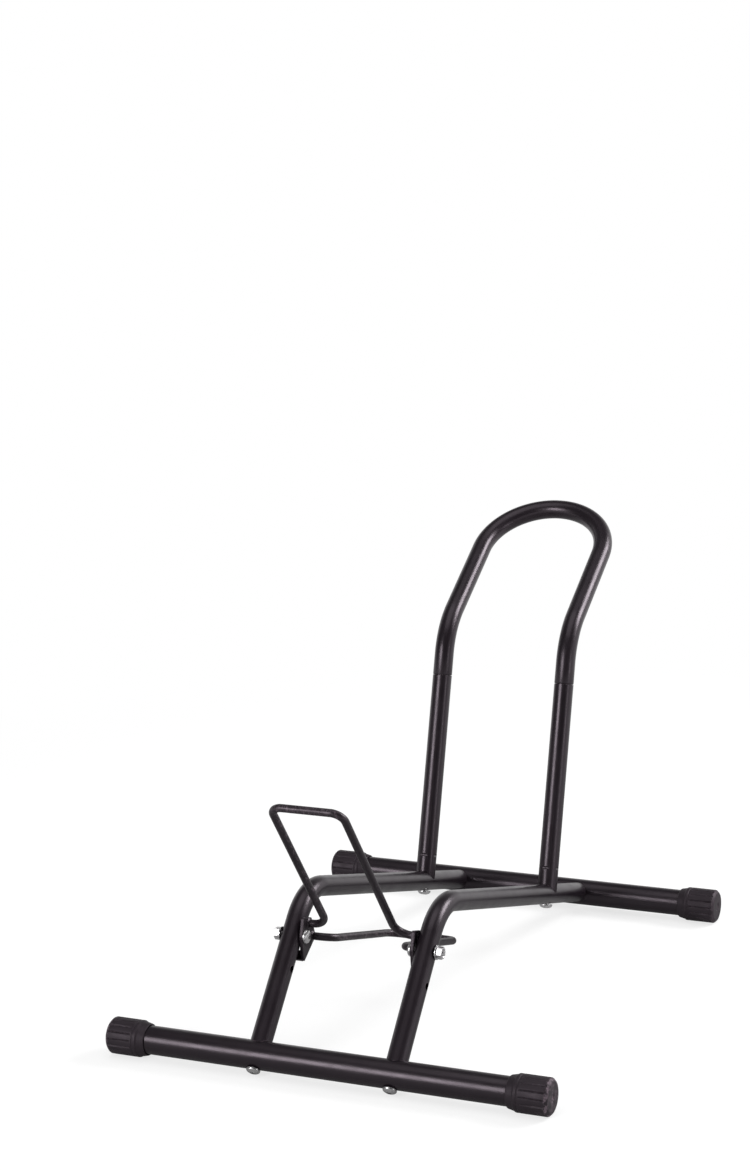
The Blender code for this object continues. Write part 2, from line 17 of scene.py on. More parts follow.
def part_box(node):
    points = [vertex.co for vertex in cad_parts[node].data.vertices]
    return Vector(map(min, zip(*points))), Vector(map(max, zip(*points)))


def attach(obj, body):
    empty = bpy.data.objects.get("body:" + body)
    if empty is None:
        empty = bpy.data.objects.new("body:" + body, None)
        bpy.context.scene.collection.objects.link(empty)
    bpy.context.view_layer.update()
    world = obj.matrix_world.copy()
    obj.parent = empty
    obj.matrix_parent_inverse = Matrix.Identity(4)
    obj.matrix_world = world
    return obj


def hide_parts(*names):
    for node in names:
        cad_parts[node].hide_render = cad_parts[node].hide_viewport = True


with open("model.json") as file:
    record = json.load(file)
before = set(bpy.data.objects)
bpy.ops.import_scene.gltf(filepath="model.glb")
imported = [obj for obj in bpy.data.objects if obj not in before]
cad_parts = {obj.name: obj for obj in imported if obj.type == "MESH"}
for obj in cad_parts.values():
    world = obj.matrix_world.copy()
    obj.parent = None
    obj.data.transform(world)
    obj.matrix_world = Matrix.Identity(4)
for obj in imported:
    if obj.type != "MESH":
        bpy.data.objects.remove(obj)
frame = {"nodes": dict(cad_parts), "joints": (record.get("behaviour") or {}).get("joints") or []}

bl_info = {
    "name": "Floor Bike Stand",
    "version": (1, 0, 0),
    "blender": (4, 5, 0),
    "location": "View3D > Sidebar > Bike Stand",
    "description": "Builds the visible pieces of a tubular floor bike stand over its frame",
    "category": "Object",
}

STAND = "stand"
CRADLE = "cradle"
SIDES = {"left": -1.0, "right": 1.0}
ACROSS = Vector((1.0, 0.0, 0.0))
UP = Vector((0.0, 0.0, 1.0))
WHITE = (1.0, 1.0, 1.0, 1.0)
SHARP_ANGLE = math.radians(35)
MERGE_DISTANCE = 2e-6
CLEARANCE = 0.0003  # between parts that fit into each other
EDGE = 0.0004  # broken edge at the end of a tube or rod
CUT_PAST = 0.02  # how far a cutter reaches to either side of what it cuts
COPE_REACH = 0.03  # the same for the cutter of a cope, which is wider
FINE_RING, TUBE_RING, ROD_RING = 96, 72, 48  # sides of the round forms
SOCKETS = {float: "Float", int: "Int", bpy.types.Material: "Material", bpy.types.Object: "Object"}


# What the frame says about its own places and sizes


def node_middle(node):
    """The middle of a frame node's box."""
    low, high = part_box(node)
    return (low + high) / 2


def node_size(node):
    """The size of a frame node's box."""
    low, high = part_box(node)
    return high - low


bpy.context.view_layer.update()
FRONT_FOOT = node_middle("front_foot_tube")
REAR_FOOT = node_middle("rear_foot_tube")
FOOT_TUBE_SIZE = node_size("front_foot_tube")
CAP_SIZE = node_size("front_right_foot_cap")
PIVOT = Vector(frame["joints"][0]["pos_m"])


# Sizes, finishes and stage

def length(name, description, default):
    """A size in metres that a user may change."""
    return FloatProperty(name=name, description=description, default=default, min=0.0, precision=5,
                         unit="LENGTH", subtype="DISTANCE")


def turn(name, description, degrees):
    """An angle that a user may change, given here in degrees."""
    return FloatProperty(name=name, description=description, default=math.radians(degrees),
                         unit="ROTATION", subtype="ANGLE")


def share(name, description, default):
    """A number from 0 to 1 that a user may change."""
    return FloatProperty(name=name, description=description, default=default, min=0.0, max=1.0, subtype="FACTOR")


def colour(name, description, default):
    """A colour that a user may change."""
    return FloatVectorProperty(name=name, description=description, default=default, size=3,
                               min=0.0, max=1.0, subtype="COLOR")


def power(name, description, default):
    """A lamp's power in watts that a user may change."""
    return FloatProperty(name=name, description=description, default=default, min=0.0, unit="POWER")


class FootSizes(bpy.types.PropertyGroup):
    """Cross feet and their end caps."""
    tube_diameter: length("Foot tube diameter", "Outside of the cross feet's tube", FOOT_TUBE_SIZE.y)
    tube_length: length("Foot tube length", "Length of a cross foot without its caps", FOOT_TUBE_SIZE.x)
    tube_wall: length("Foot tube wall", "Wall of the cross feet's tube", 0.0015)
    cap_diameter: length("Cap diameter", "Across the cap's rib crests", 0.0328)
    cap_length: length("Cap length", "From the cap's mouth to its end", CAP_SIZE.x - 0.0042)
    cap_outer_end: length("Cap outer end", "Distance of the cap's end from the stand's middle",
                          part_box("front_right_foot_cap")[1].x)
    collar_length: length("Collar length", "Nearly straight collar at the cap's mouth, with its step", 0.0078)
    collar_step: length("Collar step", "Step from the smooth ring down to the collar", 0.0009)
    collar_land: length("Collar land", "Smooth ring between collar and ribs", 0.0035)
    ring_groove: length("Ring groove", "Depth of the groove where the ribs end", 0.00035)
    mouth_wall: length("Mouth wall", "Wall of the cap at its mouth", 0.0012)
    end_wall: length("End wall", "Thickness of the cap's closed end", 0.004)
    end_chamfer: length("End chamfer", "Chamfer round the cap's end", 0.0025)
    groove_depth: length("Groove depth", "Depth of the grooves between ribs", 0.0008)
    dimple_diameter: length("Dimple diameter", "Moulding dimple in the cap's end", 0.009)
    dimple_depth: length("Dimple depth", "Depth of the moulding dimple", 0.0008)
    rib_count: IntProperty(name="Ribs", description="Ribs round a cap", default=16, min=3)
    rib_share: share("Rib share", "Part of the pitch that a rib's crest takes", 0.72)


class FrameSizes(bpy.types.PropertyGroup):
    """Side rails, uprights and hoop."""
    tube_diameter: length("Tube diameter", "Outside of rails, uprights and hoop", 0.019)
    tube_wall: length("Tube wall", "Wall of rails, uprights and hoop", 0.0012)
    rail_spacing: length("Rail spacing", "Between the two rails' axes", 0.129)
    leg_lean: turn("Leg lean", "Lean of the rails' front legs from upright", 43.7)
    leg_length: length("Leg length", "From the front foot's axis to the rail's corner", 0.1615)
    rail_bend: length("Rail bend radius", "Radius of the rail's bend at its axis", 0.050)
    upright_setback: length("Upright setback", "From the rear foot's axis to the upright's, along the run", 0.1034)
    upright_height: length("Upright height", "From the run's axis to the splice", 0.206)
    hoop_rise: length("Hoop rise", "From the splice to the hoop's bend corner", 0.0487)
    hoop_bend: length("Hoop bend radius", "Radius of the hoop's lower bends", 0.0695)
    hoop_lean: turn("Hoop lean", "Lean of the hoop's legs from upright", 59.65)
    hoop_reach: length("Hoop reach", "From the hoop's bend corner to its top", 0.1826)
    plug_depth: length("Plug depth", "Depth of the hoop's necked end in the upright", 0.040)
    shoulder: length("Shoulder", "Rounded shoulder above the splice", 0.001)
    spare_hole: length("Spare hole", "From the front foot's axis to the spare hole", 0.082)
    bolt_hole: length("Bolt hole diameter", "Hole for an M6 bolt", 0.0066)
    stake_height: length("Stake height", "From the run's axis to the crimps in the upright", 0.026)
    stake_width: length("Stake width", "Width of a crimp round the tube", 0.0078)
    stake_rise: length("Stake rise", "Height of a crimp along the tube", 0.0034)
    stake_depth: length("Stake depth", "Depth of a crimp", 0.0009)


class CradleSizes(bpy.types.PropertyGroup):
    """Rocking cradle of two bent rods and two side plates."""
    rod_diameter: length("Rod diameter", "Round rod of the bows", 0.007)
    bow_width: length("Bow width", "Between a bow's two arm axes", 0.0666)
    corner_bend: length("Corner bend", "Radius where an arm turns out to its plate", 0.015)
    end_bend: length("End bend", "Radius of a bow's closed end", 0.011)
    front_seat: length("Front seat", "From the pivot to the front bow's seat, along the leg", 0.013)
    front_arm: length("Front arm", "Length of the front bow's arms", 0.175)
    front_angle: turn("Front arm angle", "Rise of the front bow's arms, from straight back", 126.0)
    rear_seat: length("Rear seat", "From the pivot to the rear bow's seat, along the run", 0.016)
    rear_arm: length("Rear arm", "Length of the rear bow's arms", 0.1345)
    plate_outer: length("Plate outer face", "Distance of the plate's outer face from the middle", 0.0547)
    plate_thickness: length("Plate thickness", "Thickness of the side plates", 0.003)
    hub_radius: length("Hub radius", "Plate round the pivot", 0.006)
    plate_corner: length("Plate corner radius", "Rounded corners of the plate's top edge", 0.002)
    plate_rim: length("Plate rim", "Plate left round each rod", 0.0015)
    tab_start: length("Tab start", "From the pivot down to the stop tab, along the leg", 0.0096)
    tab_length: length("Tab length", "Length of the stop tab along the leg", 0.009)
    tab_thickness: length("Tab thickness", "Thickness of the stop tab", 0.003)
    tab_height: length("Tab height", "From the leg's axis line to the middle of the tab", 0.0113)
    tab_end: length("Tab end", "Distance of the tab's end from the middle", 0.0664)
    weld_size: length("Weld size", "Bead round each rod at its plate", 0.0011)


class FastenerSizes(bpy.types.PropertyGroup):
    """M6 bolts, nuts and washers."""
    shank_diameter: length("Shank diameter", "Outside of the bolts' thread", 0.006)
    head_diameter: length("Head diameter", "Round domed head", 0.0126)
    head_height: length("Head height", "Height of the domed head", 0.004)
    socket_width: length("Socket width", "Hexagon socket across its flats", 0.004)
    socket_depth: length("Socket depth", "Depth of the hexagon socket", 0.002)
    nut_width: length("Nut width", "Across the nut's flats", 0.010)
    nut_height: length("Nut height", "Height of the nut", 0.005)
    washer_diameter: length("Washer diameter", "Outside of the pivot washers", 0.013)
    washer_thickness: length("Washer thickness", "Thickness of the pivot washers", 0.001)
    thread_pitch: length("Thread pitch", "Coarse M6 thread", 0.001)
    pivot_length: length("Pivot bolt length", "Under the pivot bolt's head", 0.0302)
    grip: length("Grip", "Thread engaged in an insert plug", 0.013)
    plug_inset: length("Plug inset", "Depth of the plug's face in its tube", 0.003)


class Finishes(bpy.types.PropertyGroup):
    """Colours and surface of the four finishes."""
    frame_colour: colour("Frame coat", "Semi-gloss powder coat of the tubes", (0.0076, 0.0052, 0.0074))
    frame_roughness: share("Frame roughness", "Gloss of the tubes' coat", 0.31)
    rod_colour: colour("Rod coat", "Satin powder coat of the cradle", (0.0072, 0.0051, 0.0070))
    coat_specular: share("Coat specular", "Strength of the coats' reflection", 0.50)
    coat_tint: colour("Coat tint", "Tint of the coats' and caps' reflection", (1.0, 0.86, 0.97))
    rod_roughness: share("Rod roughness", "Gloss of the cradle's coat", 0.40)
    scuff_colour: colour("Scuffs", "Rubbed places on coat and plastic", (0.185, 0.140, 0.168))
    plastic_colour: colour("Cap plastic", "Moulded end caps", (0.0135, 0.0100, 0.0130))
    plastic_specular: share("Plastic specular", "Strength of the caps' reflection", 0.38)
    plastic_roughness: share("Plastic roughness", "Gloss of the caps", 0.52)
    zinc_colour: colour("Zinc", "Bright zinc plate of the fasteners", (0.69, 0.68, 0.69))
    zinc_roughness: share("Zinc roughness", "Gloss of the zinc plate", 0.27)


class StageSizes(bpy.types.PropertyGroup):
    """Camera, lamps and floor."""
    camera_place: FloatVectorProperty(name="Camera place", description="Where the camera stands", size=3,
                                      default=(0.89758, -2.15782, 0.90462), subtype="XYZ", unit="LENGTH")
    camera_yaw: turn("Camera yaw", "Camera's turn to the left of straight back", 24.19332)
    camera_pitch: turn("Camera pitch", "Camera's look down", 12.80186)
    camera_roll: turn("Camera roll", "Camera's roll", -2.18602)
    lens: FloatProperty(name="Lens", description="Focal length on a 36 mm sensor", default=78.905, min=1.0,
                        unit="CAMERA")
    floor_size: length("Floor size", "Edge of the floor sheet", 24.0)
    floor_colour: colour("Floor", "Pale floor", (0.80, 0.80, 0.80))
    floor_white: share("Floor white", "How far the floor is lifted to white for the eye", 0.62)
    floor_gloss: share("Floor in gloss", "How far the floor is lifted for reflections", 0.10)
    fade_start: length("Fade start", "Where the floor starts to turn into the white backdrop", 0.55)
    fade_end: length("Fade end", "Where the floor has become the white backdrop", 1.1)
    room_level: share("Room level", "Plain light from all round", 0.38)
    room_front: share("Room front", "What gloss sees of the room in front of the backdrop", 0.12)
    key_power: power("Key lamp", "Soft lamp at the front left", 38.0)
    rear_power: power("Rear lamp", "Soft lamp at the right rear", 42.0)
    top_power: power("Top lamp", "Soft lamp overhead", 13.0)
    side_power: power("Side lamp", "Soft lamp at the right", 5.0)


class StandSettings(bpy.types.PropertyGroup):
    """Everything a user may change."""
    foot: PointerProperty(type=FootSizes, name="Feet", description="Cross feet and caps")
    frame: PointerProperty(type=FrameSizes, name="Frame", description="Rails, uprights and hoop")
    cradle: PointerProperty(type=CradleSizes, name="Cradle", description="Bows and side plates")
    fastener: PointerProperty(type=FastenerSizes, name="Fasteners", description="Bolts, nuts and washers")
    finish: PointerProperty(type=Finishes, name="Finishes", description="Colours and gloss")
    stage: PointerProperty(type=StageSizes, name="Stage", description="Camera, lamps and floor")


def leaning(angle):
    """The direction that leans rearwards from upright by an angle."""
    return Vector((0.0, math.sin(angle), math.cos(angle)))


def layout(settings):
    """The stand's axes and corners, worked out from its sizes."""
    sizes = settings.frame
    cradle = settings.cradle
    leg = leaning(sizes.leg_lean)
    corner = FRONT_FOOT + leg * sizes.leg_length
    run = (REAR_FOOT - corner).normalized()
    upright = Vector((0.0, -run.z, run.y))
    upright_foot = REAR_FOOT - run * sizes.upright_setback
    splice = upright_foot + upright * sizes.upright_height
    hoop_corner = splice + upright * sizes.hoop_rise
    front_arm = Vector((0.0, math.cos(cradle.front_angle), math.sin(cradle.front_angle)))
    front_seat = PIVOT + leg * cradle.front_seat
    rear_seat = PIVOT + run * cradle.rear_seat
    return SimpleNamespace(
        leg=leg,
        run=run,
        upright=upright,
        rail=sizes.rail_spacing / 2,
        rail_corner=corner,
        spare_hole=FRONT_FOOT + leg * sizes.spare_hole,
        upright_foot=upright_foot,
        splice=splice,
        hoop_corner=hoop_corner,
        hoop_top=hoop_corner + leaning(sizes.hoop_lean) * sizes.hoop_reach,
        front_seat=front_seat,
        front_end=front_seat + front_arm * cradle.front_arm,
        rear_seat=rear_seat,
        rear_end=rear_seat + run * cradle.rear_arm,
    )


def across(point, x):
    """The same point, moved to a distance x to the right of the stand's middle."""
    return Vector((x, point.y, point.z))


def stood(middle, *axes):
    """The matrix that turns a form's own axes to the given ones and moves it to a place."""
    return Matrix.Translation(middle) @ Matrix(axes).transposed().to_4x4()


# Node trees

class Nodes:
    """A node tree while it is drawn, with the steps that several trees share."""

    def __init__(self, tree):
        self.tree = tree

    def add(self, kind, output, inputs=None, **settings):
        """Adds a node with its settings, links or sets its inputs, and gives the output asked for."""
        made = self.tree.nodes.new(kind)
        for name, value in settings.items():
            setattr(made, name, value)
        for key, value in (inputs or {}).items():
            if isinstance(value, bpy.types.NodeSocket):
                self.tree.links.new(value, made.inputs[key])
            else:
                made.inputs[key].default_value = value
        return made.outputs if output is None else made.outputs[output]

    def calc(self, operation, first, second=0.0, third=0.0):
        """One step of arithmetic."""
        return self.add("ShaderNodeMath", 0, {0: first, 1: second, 2: third}, operation=operation)

    def times(self, first, second):
        """Two values multiplied."""
        return self.calc("MULTIPLY", first, second)

    def split(self, vector):
        """A vector's X, Y and Z."""
        return self.add("ShaderNodeSeparateXYZ", None, {"Vector": vector})

    def spread(self, value, low, high, to_low=0.0, to_high=1.0, **settings):
        """Maps a value from one range to another, clamped."""
        return self.add("ShaderNodeMapRange", "Result", {
            "Value": value,
            "From Min": low,
            "From Max": high,
            "To Min": to_low,
            "To Max": to_high,
        }, **settings)

    def carried(self, name, kind="FLOAT"):
        """A value that each point carries."""
        return self.add("GeometryNodeInputNamedAttribute", "Attribute", {"Name": name}, data_type=kind)

    def merged(self, shape):
        """A shape with its doubles merged."""
        return self.add("GeometryNodeMergeByDistance", "Geometry", {"Geometry": shape, "Distance": MERGE_DISTANCE})


def swept_tube(draw, given):
    """A tube swept along a line of points, bent at each corner by the radius the point carries."""
    line = draw.add("GeometryNodeMeshToCurve", "Curve", {"Mesh": given["Shape"]})
    bent = draw.add("GeometryNodeFilletCurve", "Curve", {
        "Curve": line,
        "Count": given["Bend Steps"],
        "Radius": draw.carried("bend"),
        "Limit Radius": True,
    }, mode="POLY")
    ring = draw.add("GeometryNodeCurvePrimitiveCircle", "Curve", {
        "Resolution": given["Ring Steps"],
        "Radius": given["Tube Radius"],
    })
    return draw.merged(draw.add("GeometryNodeCurveToMesh", "Mesh", {
        "Curve": bent,
        "Profile Curve": ring,
        "Scale": draw.carried("girth"),
        "Fill Caps": True,
    }))


def turned_form(draw, given):
    """A profile turned about its axis, with straight grooves wherever the profile carries them."""
    rows = draw.add("GeometryNodeAttributeDomainSize", "Point Count", {"Geometry": given["Shape"]}, component="MESH")
    columns = draw.add("FunctionNodeIntegerMath", 0, {0: given["Steps Round"], 1: 1}, operation="ADD")
    sheet = draw.add("GeometryNodeMeshGrid", "Mesh", {"Vertices X": columns, "Vertices Y": rows})
    index = draw.add("GeometryNodeInputIndex", 0)
    column, row = (draw.add("FunctionNodeIntegerMath", 0, {0: index, 1: rows}, operation=operation)
                   for operation in ("DIVIDE_FLOOR", "MODULO"))
    position = draw.add("GeometryNodeInputPosition", 0)
    profile, grooved = (draw.add("GeometryNodeSampleIndex", "Value", {
        "Geometry": given["Shape"],
        "Index": row,
        "Value": value,
    }, data_type=kind) for value, kind in ((position, "FLOAT_VECTOR"), (draw.carried("groove"), "FLOAT")))
    station = draw.split(profile)
    turned_share = draw.calc("DIVIDE", column, given["Steps Round"])
    phase = draw.calc("FRACT", draw.calc("MULTIPLY_ADD", turned_share, given["Ribs"], 0.5))
    off_crest = draw.calc("ABSOLUTE", draw.calc("MULTIPLY_ADD", phase, 2.0, -1.0))
    groove = draw.spread(off_crest, given["Rib Share"], 1.0, 0.0, given["Groove Depth"],
                         interpolation_type="SMOOTHSTEP")
    radius = draw.calc("SUBTRACT", station["X"], draw.times(groove, grooved))
    angle = draw.times(turned_share, math.tau)
    spot = draw.add("ShaderNodeCombineXYZ", "Vector", {
        "X": draw.times(radius, draw.calc("COSINE", angle)),
        "Y": draw.times(radius, draw.calc("SINE", angle)),
        "Z": station["Z"],
    })
    return draw.merged(draw.add("GeometryNodeSetPosition", "Geometry", {"Geometry": sheet, "Position": spot}))


def fasteners_in_place(draw, given):
    """One finished fastener set at each point, its own axis along the direction the point carries."""
    pattern = draw.add("GeometryNodeObjectInfo", "Geometry", {"Object": given["Fastener"], "As Instance": True})
    facing = draw.carried("facing", "FLOAT_VECTOR")
    rotation = draw.add("FunctionNodeAlignRotationToVector", "Rotation", {"Vector": facing}, axis="Z")
    return draw.add("GeometryNodeInstanceOnPoints", "Instances", {
        "Points": given["Shape"],
        "Instance": pattern,
        "Rotation": rotation,
    })


def node_group(form, sizes):
    """The tree that a form draws, with an input for each size. It is made the first time it is asked for."""
    name = form.__name__.replace("_", " ")
    if name in bpy.data.node_groups:
        return bpy.data.node_groups[name]
    tree = bpy.data.node_groups.new(name, "GeometryNodeTree")
    tree.is_modifier = True
    tree.interface.new_socket("Shape", in_out="INPUT", socket_type="NodeSocketGeometry")
    for label, value in sizes.items():
        tree.interface.new_socket(label, in_out="INPUT", socket_type="NodeSocket" + SOCKETS[type(value)])
    tree.interface.new_socket("Shape", in_out="OUTPUT", socket_type="NodeSocketGeometry")
    draw = Nodes(tree)
    given = draw.add("NodeGroupInput", None)
    real = draw.add("GeometryNodeRealizeInstances", "Geometry", {"Geometry": form(draw, given)})
    smooth = draw.add("GeometryNodeSetShadeSmooth", "Geometry", {"Geometry": real})
    coated = draw.add("GeometryNodeSetMaterial", "Geometry", {"Geometry": smooth, "Material": given["Finish"]})
    draw.add("NodeGroupOutput", None, {"Shape": coated})
    return tree


# Finishes

def opaque(values, gain=1.0):
    """A colour with its alpha, made lighter or darker by a gain."""
    return tuple(min(1.0, value * gain) for value in values) + (1.0,)


def blank_shading(owner):
    """The emptied node tree of a material or a world."""
    owner.use_nodes = True
    owner.node_tree.nodes.clear()
    return owner.node_tree


class Finish(Nodes):
    """A piece's finish while it is drawn, on Object coordinates.

    Noise scales are in cells a metre, and radii and heights in metres.
    """

    def __init__(self, name):
        super().__init__(blank_shading(bpy.data.materials.new(name)))
        self.spot = self.add("ShaderNodeTexCoord", "Object")

    def noise(self, scale, detail, roughness=0.5, spot=None):
        """Plain noise."""
        return self.add("ShaderNodeTexNoise", "Fac", {
            "Vector": spot or self.spot,
            "Scale": scale,
            "Detail": detail,
            "Roughness": roughness,
        })

    def stretched(self, *scale):
        """The Object coordinates, stretched along the axes whose scale is under 1."""
        return self.add("ShaderNodeMapping", "Vector", {"Vector": self.spot, "Scale": scale})

    def blend(self, share_of, first, second):
        """A colour between two, by a share."""
        return self.add("ShaderNodeMix", 2, {0: share_of, 6: first, 7: second}, data_type="RGBA")

    def clouded(self, scale, values, dark, light):
        """A colour that wanders softly between a darker and a lighter one."""
        cloud = self.spread(self.noise(scale, 3.0), 0.35, 0.65)
        return self.blend(cloud, opaque(values, dark), opaque(values, light))

    def worn_edges(self, radius, patch_scale):
        """A mask that is 1 on worn edges, broken up by noise."""
        soft = self.add("ShaderNodeBevel", "Normal", {"Radius": radius}, samples=6)
        plain = self.add("ShaderNodeNewGeometry", "Normal")
        same = self.add("ShaderNodeVectorMath", "Value", {0: soft, 1: plain}, operation="DOT_PRODUCT")
        patches = self.spread(self.noise(patch_scale, 3.0, 0.6), 0.47, 0.62)
        return self.times(self.spread(same, 0.985, 0.86), patches)

    def relief(self, scale, height, detail, roughness, **under):
        """Noise as bump of a given height, on top of another bump if one is given."""
        return self.add("ShaderNodeBump", "Normal", {
            "Height": self.noise(scale, detail, roughness),
            "Strength": 1.0,
            "Distance": height,
            **under,
        })

    def close(self, base, gloss, peel, grain, wear=None, wear_gloss=0.0, **plain):
        """Ends the finish in its shader.

        gloss is the roughness's noise scale, lowest and highest value, and wear_gloss what wear adds
        to it. peel and grain are the scale and height of the coat's coarse and fine relief.
        """
        scale, low, high = gloss
        sheen = self.spread(self.noise(scale, 3.0), 0.30, 0.70, low, high)
        orange_peel = self.relief(*peel, 1.0, 0.4)
        shader = self.add("ShaderNodeBsdfPrincipled", "BSDF", {
            "Base Color": base,
            "Roughness": self.calc("MULTIPLY_ADD", wear, wear_gloss, sheen) if wear else sheen,
            "Normal": self.relief(*grain, 2.0, 0.6, Normal=orange_peel),
            **plain,
        })
        self.add("ShaderNodeOutputMaterial", None, {"Surface": shader}, is_active_output=True)


def reflection(finish, level):
    """The shader's two values for a dark coat's reflection."""
    return {"Specular IOR Level": level, "Specular Tint": opaque(finish.coat_tint)}


def powder_coat(draw, settings):
    """Semi-gloss black powder coat of the tubes, dusted and rubbed at its edges."""
    finish = settings.finish
    scuffs = opaque(finish.scuff_colour)
    rough = finish.frame_roughness
    wear = draw.worn_edges(0.0007, 160.0)
    dust = draw.spread(draw.noise(700.0, 3.0, 0.7), 0.66, 0.80, 0.0, 0.10)
    dusted = draw.blend(dust, draw.clouded(14.0, finish.frame_colour, 0.86, 1.16), scuffs)
    draw.close(draw.blend(draw.times(wear, 0.55), dusted, scuffs), (55.0, rough - 0.035, rough + 0.045),
               (850.0, 0.000018), (4200.0, 0.0000028), wear, 0.18, **reflection(finish, finish.coat_specular))


def rod_coat(draw, settings):
    """Satin black coat of the cradle, rubbed where the tyre rolls between the arms."""
    finish = settings.finish
    rough = finish.rod_roughness
    sideways = draw.calc("ABSOLUTE", draw.split(draw.spot)["X"])
    inner_side = draw.spread(sideways, 0.0318, 0.0300)
    streaks = draw.spread(draw.noise(900.0, 4.0, 0.65, draw.stretched(1.0, 0.22, 0.22)), 0.50, 0.68)
    rubbed = draw.times(draw.times(inner_side, streaks), 0.8)
    wear = draw.calc("MAXIMUM", rubbed, draw.worn_edges(0.0006, 220.0))
    base = draw.blend(draw.times(wear, 0.50), draw.clouded(30.0, finish.rod_colour, 0.84, 1.20),
                      opaque(finish.scuff_colour))
    draw.close(base, (80.0, rough - 0.04, rough + 0.05), (1100.0, 0.000022), (4600.0, 0.0000030), wear, -0.08,
               **reflection(finish, finish.coat_specular))


def cap_plastic(draw, settings):
    """Moulded black plastic, scuffed pale round the front caps' ends and under the ribs."""
    finish = settings.finish
    rough = finish.plastic_roughness
    end = settings.foot.cap_outer_end
    spot = draw.split(draw.spot)
    outward = draw.calc("ABSOLUTE", spot["X"])
    on_rim = draw.times(draw.spread(outward, end - 0.0036, end - 0.0022),
                        draw.spread(outward, end + 0.0001, end - 0.0006, 0.35, 1.0))
    patches = draw.spread(draw.noise(240.0, 3.0), 0.44, 0.56)
    streaks = draw.spread(draw.noise(1500.0, 3.0, 0.6, draw.stretched(1.0, 0.14, 1.0)), 0.40, 0.60, 0.25, 1.0)
    at_front = draw.spread(spot["Y"], 0.0, -0.2, 0.25, 1.0)
    end_scuff = draw.times(draw.times(on_rim, draw.times(patches, streaks)), at_front)
    near_floor = draw.spread(spot["Z"], 0.0012, 0.0003)
    floor_scuff = draw.times(near_floor, draw.spread(draw.noise(420.0, 4.0), 0.44, 0.60))
    edges = draw.times(draw.worn_edges(0.0008, 260.0), 0.7)
    marks = draw.calc("MAXIMUM", draw.calc("MAXIMUM", end_scuff, floor_scuff), edges)
    base = draw.blend(draw.times(marks, 0.85), draw.clouded(45.0, finish.plastic_colour, 0.85, 1.20),
                      opaque(finish.scuff_colour))
    draw.close(base, (120.0, rough - 0.05, rough + 0.06), (1900.0, 0.000030), (5200.0, 0.0000060), marks, 0.12,
               **reflection(finish, finish.plastic_specular))


def zinc_plate(draw, settings):
    """Bright zinc plate, clouded and finely marked."""
    finish = settings.finish
    rough = finish.zinc_roughness
    cloud = draw.spread(draw.noise(380.0, 4.0, 0.6), 0.35, 0.70)
    base = draw.blend(cloud, opaque(finish.zinc_colour), opaque(finish.zinc_colour, 0.80))
    draw.close(base, (900.0, rough - 0.05, rough + 0.11), (1500.0, 0.000018), (6000.0, 0.0000030), Metallic=1.0)


FINISHES = {
    "frame_coat": ("black powder coat", powder_coat),
    "rod_coat": ("satin rod coat", rod_coat),
    "cap_plastic": ("cap plastic", cap_plastic),
    "zinc": ("bright zinc plate", zinc_plate),
}


def finish_of(slot):
    """A slot's material. It is drawn the first time it is asked for."""
    name, draw = FINISHES[slot]
    if name not in bpy.data.materials:
        draw(Finish(name), bpy.context.scene.bike_stand)
    return bpy.data.materials[name]


# Mesh work

def new_object(name, mesh):
    """An object for a mesh, a camera or a lamp, in the scene."""
    made = bpy.data.objects.new(name, mesh)
    bpy.context.scene.collection.objects.link(made)
    return made


def worked_object(name, work):
    """An object from a finished bmesh, which is freed."""
    mesh = bpy.data.meshes.new(name)
    work.to_mesh(mesh)
    work.free()
    return new_object(name, mesh)


def point_object(name, points, linked, **channels):
    """Points as a mesh object, linked in a line or loose, with a number or a vector a point in each channel."""
    mesh = bpy.data.meshes.new(name)
    links = [(i, i + 1) for i in range(len(points) - 1)] if linked else []
    mesh.from_pydata([tuple(point) for point in points], links, [])
    for channel, values in channels.items():
        if isinstance(values[0], Vector):
            numbers = [number for value in values for number in value]
            mesh.attributes.new(channel, "FLOAT_VECTOR", "POINT").data.foreach_set("vector", numbers)
        else:
            mesh.attributes.new(channel, "FLOAT", "POINT").data.foreach_set("value", values)
    return new_object(name, mesh)


def clean(mesh):
    """Merges doubles, turns every face outwards and shades smooth between sharp edges."""
    work = bmesh.new()
    work.from_mesh(mesh)
    bmesh.ops.remove_doubles(work, verts=work.verts, dist=MERGE_DISTANCE)
    bmesh.ops.dissolve_degenerate(work, edges=work.edges, dist=MERGE_DISTANCE)
    bmesh.ops.recalc_face_normals(work, faces=work.faces)
    work.to_mesh(mesh)
    work.free()
    mesh.shade_smooth()
    mesh.set_sharp_from_angle(angle=SHARP_ANGLE)


def settle(piece):
    """Makes the piece's evaluated shape its plain mesh and takes its modifiers off."""
    bpy.context.view_layer.update()
    graph = bpy.context.evaluated_depsgraph_get()
    shape = bpy.data.meshes.new_from_object(piece.evaluated_get(graph), depsgraph=graph)
    if not shape.polygons:
        raise RuntimeError(f"{piece.name} came out empty")
    piece.modifiers.clear()
    old = piece.data
    piece.data = shape
    shape.name = piece.name
    bpy.data.meshes.remove(old)
    clean(shape)
    return piece


def grow(carrier, form, **sizes):
    """Puts a form's tree on an object, sets its inputs by their identifiers and gives the plain mesh."""
    sizes = {name.replace("_", " ").title(): value for name, value in sizes.items()}
    modifier = carrier.modifiers.new(form.__name__, "NODES")
    modifier.node_group = node_group(form, sizes)
    for item in modifier.node_group.interface.items_tree:
        if item.item_type == "SOCKET" and item.in_out == "INPUT" and item.name in sizes:
            modifier[item.identifier] = sizes[item.name]
    return settle(carrier)


def drop(*objects):
    """Takes working objects out of the file."""
    for item in objects:
        mesh = item.data
        bpy.data.objects.remove(item)
        bpy.data.meshes.remove(mesh)


